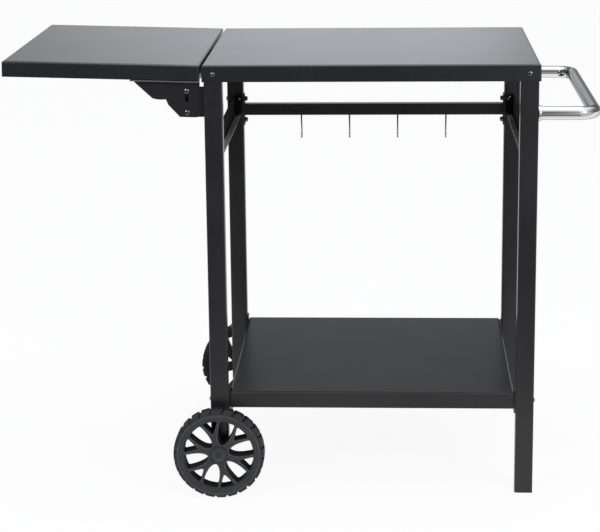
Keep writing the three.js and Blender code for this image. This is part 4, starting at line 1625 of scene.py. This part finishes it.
@dataclass
class Fasteners:
    """Cross-recessed screws and bolts with nuts.

    A head is its radius, its height and how far its seat lies inwards; a nut is its radius and height.
    """

    screw_head: Triple = (0.0048, 0.0026, 0.0026)
    bolt_head: Triple = (0.0056, 0.0034, 0.0034)
    low_head: Triple = (0.0056, 0.0022, 0.0034)
    nut: Pair = (0.0058, 0.005)
    nut_edge: float = 0.0005
    nut_sides: int = 6
    shank: float = 0.003
    screw_share: float = 0.83
    shank_start: float = 0.001
    shank_edge: float = 0.2
    shank_sides: int = 20
    tip: float = 0.0011
    crown_share: float = 1.65
    steep: float = math.radians(27)
    edge_share: float = 0.3
    cross: Pair = (0.58, 0.11)
    cross_span: Pair = (0.45, 1.2)
    steps: int = 5
    head_sides: int = 32

    def build(self) -> None:
        """Puts a head, and where it has one a nut, at each fastener's place, body by body."""
        corners = [f"{end}_{side}" for end in ENDS for side in SIDES]
        screws = [f"{kind}_screw_{corner}" for kind in ("top", "rail") for corner in corners]
        bolts = [f"bar_bolt_{k}_{side}" for k in ("upper", "lower") for side in SIDES]
        bolts += [f"pivot_bolt_{end}" for end in ENDS]
        low_bolts = [f"shelf_bolt_{corner}" for corner in corners]
        self._group("cart_screws", screws, self.screw_head, Body.FRAME, False)
        self._group("cart_bolts", bolts, self.bolt_head, Body.FRAME, True)
        self._group("shelf_bolts", low_bolts, self.low_head, Body.FRAME, True)
        for end in ENDS:
            node = f"lock_bolt_{end}"
            self._group(f"{node}_set", [node], self.bolt_head, Body[f"LOCK_{end.upper()}"], True)

    def _group(self, name: str, nodes: Sequence[str], head: Triple, body: Body, nutted: bool) -> None:
        """Makes one body's fasteners of one kind.

        Args:
            name: the piece's name.
            nodes: the nodes they stand for.
            head: their head.
            body: the body they ride on.
            nutted: whether each has a nut.
        """
        heads, nuts = [], []
        for point, inward, length in map(self._axis, nodes):
            heads.append((point + inward * head[2], -inward))
            nuts.append((point + inward * (length - self.tip), inward))
        parts = [self._scattered(f"{name}_heads", self._head(*head[:2]), heads)]
        if nutted:
            parts.append(self._scattered(f"{name}_nuts", self._nut(), nuts))
        parts += [self._shank(node) for node in nodes]
        hand_in(merged(name, parts), Finish.BOLT, body, nodes)

    @staticmethod
    def _scattered(name: str, shape: Object, places: Sequence[tuple[Vector, Vector]]) -> Object:
        """Puts a copy of a shape at each place.

        Args:
            name: the name of the tree that does it.
            shape: the shape, which is used up.
            places: pairs of point and direction.

        Returns:
            The copies.
        """
        spots = mesh_object("spots", [point for point, _ in places])
        facing = spots.data.attributes.new(FACING, "FLOAT_VECTOR", "POINT")
        facing.data.foreach_set("vector", [c for _, direction in places for c in direction])
        made = scatter_recipe(name, Finish.BOLT).run(spots, {"Shape": shape})
        bpy.data.objects.remove(shape)
        return made

    @staticmethod
    def _axis(node: str) -> tuple[Vector, Vector, float]:
        """Finds where a fastener's head ends and which way it points.

        Args:
            node: the fastener's node.

        Returns:
            The middle of the head's outer face, the direction inwards and the whole length.
        """
        low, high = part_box(node)
        centre = middle_of((low, high))
        if node.startswith(("bar", "shelf")):
            axis, sign = 0, 1.0 if node.endswith("left") else -1.0
        else:
            axis, sign = 1, 1.0 if (centre.y < 0) != node.startswith("rail") else -1.0
        inward = Vector()
        inward[axis] = sign
        centre[axis] = low[axis] if sign > 0 else high[axis]
        return centre, inward, high[axis] - low[axis]

    def _shank(self, node: str) -> Object:
        """Turns a fastener's shank.

        Args:
            node: the fastener's node.

        Returns:
            The shank.
        """
        point, inward, length = self._axis(node)
        radius = self.shank if "bolt" in node else self.shank * self.screw_share
        start, edge = self.shank_start, radius * self.shank_edge
        profile = [
            (0.0, start), (radius, start), (radius, length - edge), (radius - edge, length), (0.0, length),
        ]
        turn = inward.to_track_quat("Z", "Y").to_matrix().to_4x4()
        return placed(lathe("shank", profile, self.shank_sides), Matrix.Translation(point) @ turn)

    def _head(self, radius: float, height: float) -> Object:
        """Turns a pan head that stands on the origin and sinks a cross into it.

        Args:
            radius: the head's radius.
            height: its height.

        Returns:
            The head, facing +Z.
        """
        crown, steep, edge = radius * self.crown_share, self.steep, radius * self.edge_share
        rise, reach = height - crown * (1 - math.cos(steep)), crown * math.sin(steep)
        profile = [(0.0, 0.0), (reach + (1 - math.sin(steep)) * edge, 0.0)]
        for k in range(self.steps + 1):
            angle = (QUARTER - steep) * k / self.steps
            out, up = math.cos(angle) - math.sin(steep), math.sin(angle) - math.cos(steep)
            profile.append((reach + out * edge, rise + up * edge))
        for k in range(1, self.steps + 1):
            angle = steep * (1 - k / (self.steps + 1))
            profile.append((crown * math.sin(angle), height - crown * (1 - math.cos(angle))))
        head = lathe("head", profile + [(0.0, height)], self.head_sides)
        arm, width = (radius * share for share in self.cross)
        z0, z1 = (height * share for share in self.cross_span)
        cutters = [
            slab("arm", rectangle((-a, -b), (a, b), width / 2, 1), Axis.Z, z0, z1, 0.0)
            for a, b in ((arm, width), (width, arm))
        ]
        return carved(head, cutters)

    def _nut(self) -> Object:
        """Makes a hexagon nut that faces +Z, with its outer face at the origin.

        Returns:
            The nut.
        """
        radius, height = self.nut
        hexagon = circle(radius, self.nut_sides, math.pi / self.nut_sides)
        return slab("nut", hexagon, Axis.Z, -height, 0.0, self.nut_edge)


# ------------------------------------------------------------------ studio


@dataclass(frozen=True)
class Studio:
    """Camera, floor, world and lamps.

    The pairs are the places between which a level rises, and the shares are the levels' sizes.
    """

    place: Triple = (0.1718, -3.7616, 1.3847)
    yaw: float = -2.877
    pitch: float = 12.960
    roll: float = -0.631
    lens: float = 113.02
    sensor: float = 36.0
    shift: float = -0.1
    far: float = 100.0
    floor_radius: float = 16.0
    floor_sides: int = 64
    floor_paint: Colour = (0.9, 0.9, 0.9)
    floor_glow: float = 0.93
    floor_near: Pair = (-1.7, -0.35)
    floor_right: Pair = (0.6, 1.1)
    floor_right_share: float = 0.55
    floor_least: float = 0.1
    floor_share: float = 0.8
    tint: Colour = (0.96, 1.0, 1.05)
    fill: float = 0.14
    sky: Pair = (0.45, 1.0)
    sky_share: float = 0.96
    panel: Pair = (0.085, 0.125)
    panel_back: Pair = (-0.8, 0.0)
    panel_share: float = 0.5
    backdrop: Pair = (0.5, 0.9)
    backdrop_top: Pair = (0.13, 0.36)
    backdrop_left: Pair = (-0.32, -0.02)
    backdrop_least: float = 0.2
    backdrop_share: float = 0.8
    backdrop_right: Pair = (0.03, 0.12)
    backdrop_right_loss: float = 0.69
    aim: Triple = (0.0, 0.0, 0.5)
    lamps: tuple[tuple[str, Triple, float, float], ...] = (
        ("lamp_top", (0.1, 0.2, 3.0), 2.0, 19.0),
        ("lamp_left", (-2.0, -2.7, 2.2), 0.9, 32.0),
        ("lamp_right", (2.2, -2.7, 2.2), 0.9, 41.0),
    )

    def build(self) -> None:
        """Sets up everything that isn't the cart."""
        self._camera()
        self._floor()
        self._world()
        self._lamps()
        bpy.context.scene.view_settings.view_transform = "Standard"

    def _camera(self) -> None:
        """Puts the camera at the photograph's viewing angle."""
        data = bpy.data.cameras.new("camera")
        data.lens, data.sensor_width, data.shift_y = self.lens, self.sensor, self.shift
        data.clip_end = self.far
        yaw, pitch, roll = (math.radians(a) for a in (self.yaw, self.pitch, self.roll))
        forward = Vector((math.sin(yaw) * math.cos(pitch), math.cos(yaw) * math.cos(pitch), -math.sin(pitch)))
        level = Vector((math.cos(yaw), -math.sin(yaw), 0.0))
        right = level * math.cos(roll) + level.cross(forward) * math.sin(roll)
        turn = Matrix((right, right.cross(forward), -forward)).transposed()
        camera = linked("camera", data)
        camera.matrix_world = Matrix.Translation(self.place) @ turn.to_4x4()
        bpy.context.scene.camera = camera

    def _floor(self) -> None:
        """Lays a white floor that keeps the cart's shadow."""
        mesh = Mesh()
        mesh.cap(mesh.ring(circle(self.floor_radius, self.floor_sides)), True)
        floor = mesh.object("floor")
        material, graph = new_material("white_floor")
        side, back, _ = graph.place("Object")
        straight, mirrored = graph.rays()
        near = back.step(*self.floor_near).most(self.floor_right_share * side.step(*self.floor_right))
        level = straight.most(mirrored * (self.floor_least + self.floor_share * near))
        paint = graph.node("ShaderNodeBsdfDiffuse", {"Color": (*self.floor_paint, 1.0)})
        glow = graph.node("ShaderNodeEmission", {"Color": (1.0, 1.0, 1.0, 1.0), "Strength": level})
        seen = (straight * self.floor_glow).most(mirrored)
        mixed = graph.node("ShaderNodeMixShader", {0: seen, 1: paint, 2: glow})
        graph.node("ShaderNodeOutputMaterial", {"Surface": mixed})
        floor.data.materials.append(material)

    def _world(self) -> None:
        """Lights the cart from a white room that is darker behind the camera."""
        world = bpy.data.worlds.new("studio")
        world.use_nodes = True
        bpy.context.scene.world = world
        graph = Graph(world.node_tree)
        side, back, up = graph.place("Generated")
        seen, mirrored = graph.rays()
        level = self.fill + self.sky_share * up.step(*self.sky)
        level = level + self.panel_share * side.step(*self.panel) * (1 - back.step(*self.panel_back))
        backdrop = back.step(*self.backdrop) * (1 - up.step(*self.backdrop_top))
        backdrop = backdrop * (self.backdrop_least + self.backdrop_share * side.step(*self.backdrop_left))
        backdrop = backdrop * (1 - self.backdrop_right_loss * side.step(*self.backdrop_right))
        level = level + self.backdrop_share * mirrored * backdrop
        colour = graph.blend(seen, self.tint, (1.0, 1.0, 1.0))
        light = {"Color": colour, "Strength": seen + (1 - seen) * level}
        graph.node("ShaderNodeOutputWorld", {"Surface": graph.node("ShaderNodeBackground", light)})

    def _lamps(self) -> None:
        """Hangs one soft lamp above the cart and two in front of it."""
        for name, place, size, power in self.lamps:
            data = bpy.data.lights.new(name, "AREA")
            data.shape, data.size, data.energy = "DISK", size, power
            lamp = linked(name, data)
            lamp.location = place
            lamp.rotation_euler = (Vector(self.aim) - Vector(place)).to_track_quat("-Z", "Y").to_euler()


# ------------------------------------------------------------------ the cart


@dataclass
class Cart:
    """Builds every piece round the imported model."""

    kept: tuple[str, ...] = ("main_top_stiffener", "side_shelf_stiffener", "lower_shelf_stiffener")
    leaf_lip: float = 0.014

    def __post_init__(self) -> None:
        """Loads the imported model."""
        self.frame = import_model()
        normal = next(m["axis"] for m in self.frame["record"]["mounts"] if m["name"] == "side_shelf_face")
        hinge = next(j for j in self.frame["joints"] if j["name"] == "side_shelf_fold")
        tilt = math.atan2(normal[0], normal[2])
        self.leaf = Matrix.Translation(hinge["pos_m"]) @ Matrix.Rotation(tilt, 4, "Y")

    def leaf_box(self, node: str) -> Box:
        """Gives a node's box in the side shelf's own frame.

        Args:
            node: the node.

        Returns:
            Its lowest and highest corner.
        """
        back = self.leaf.inverted()
        points = [back @ v.co for v in self.frame["nodes"][node].data.vertices]
        low, high = (Vector(pick(p[i] for p in points) for i in range(3)) for pick in (min, max))
        return low, high

    def build(self) -> None:
        """Builds the sub-assemblies in order."""
        for node, finish in (("main_top", Finish.TOP), ("lower_shelf", Finish.SHELF)):
            Tray(node, finish).build(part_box(node), Matrix.Identity(4))
        Tray("side_shelf", body=Body.LEAF, lip=self.leaf_lip).build(self.leaf_box("side_shelf"), self.leaf)
        Legs().build()
        Rails().build()
        Hooks().build(self.frame["joints"])
        Handle().build()
        for end in ENDS:
            Wheel(end).build()
        Axle().build()
        ShelfBrackets().build()
        FoldBracket(self.leaf).build(self.leaf_box)
        Fasteners().build()
        self._dress_nodes()

    def _dress_nodes(self) -> None:
        """Gives the nodes that stay as they are their finish."""
        for name in self.kept:
            mesh = self.frame["nodes"][name].data
            mesh.materials.clear()
            mesh.materials.append(material_of(Finish.FRAME))
            LOG.info("%s: kept", name)


def main() -> None:
    """Builds the scene."""
    logging.basicConfig(level=logging.INFO, format="%(name)s %(message)s")
    cart = Cart()
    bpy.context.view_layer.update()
    Studio().build()
    cart.build()


if __name__ == "__main__":
    main()
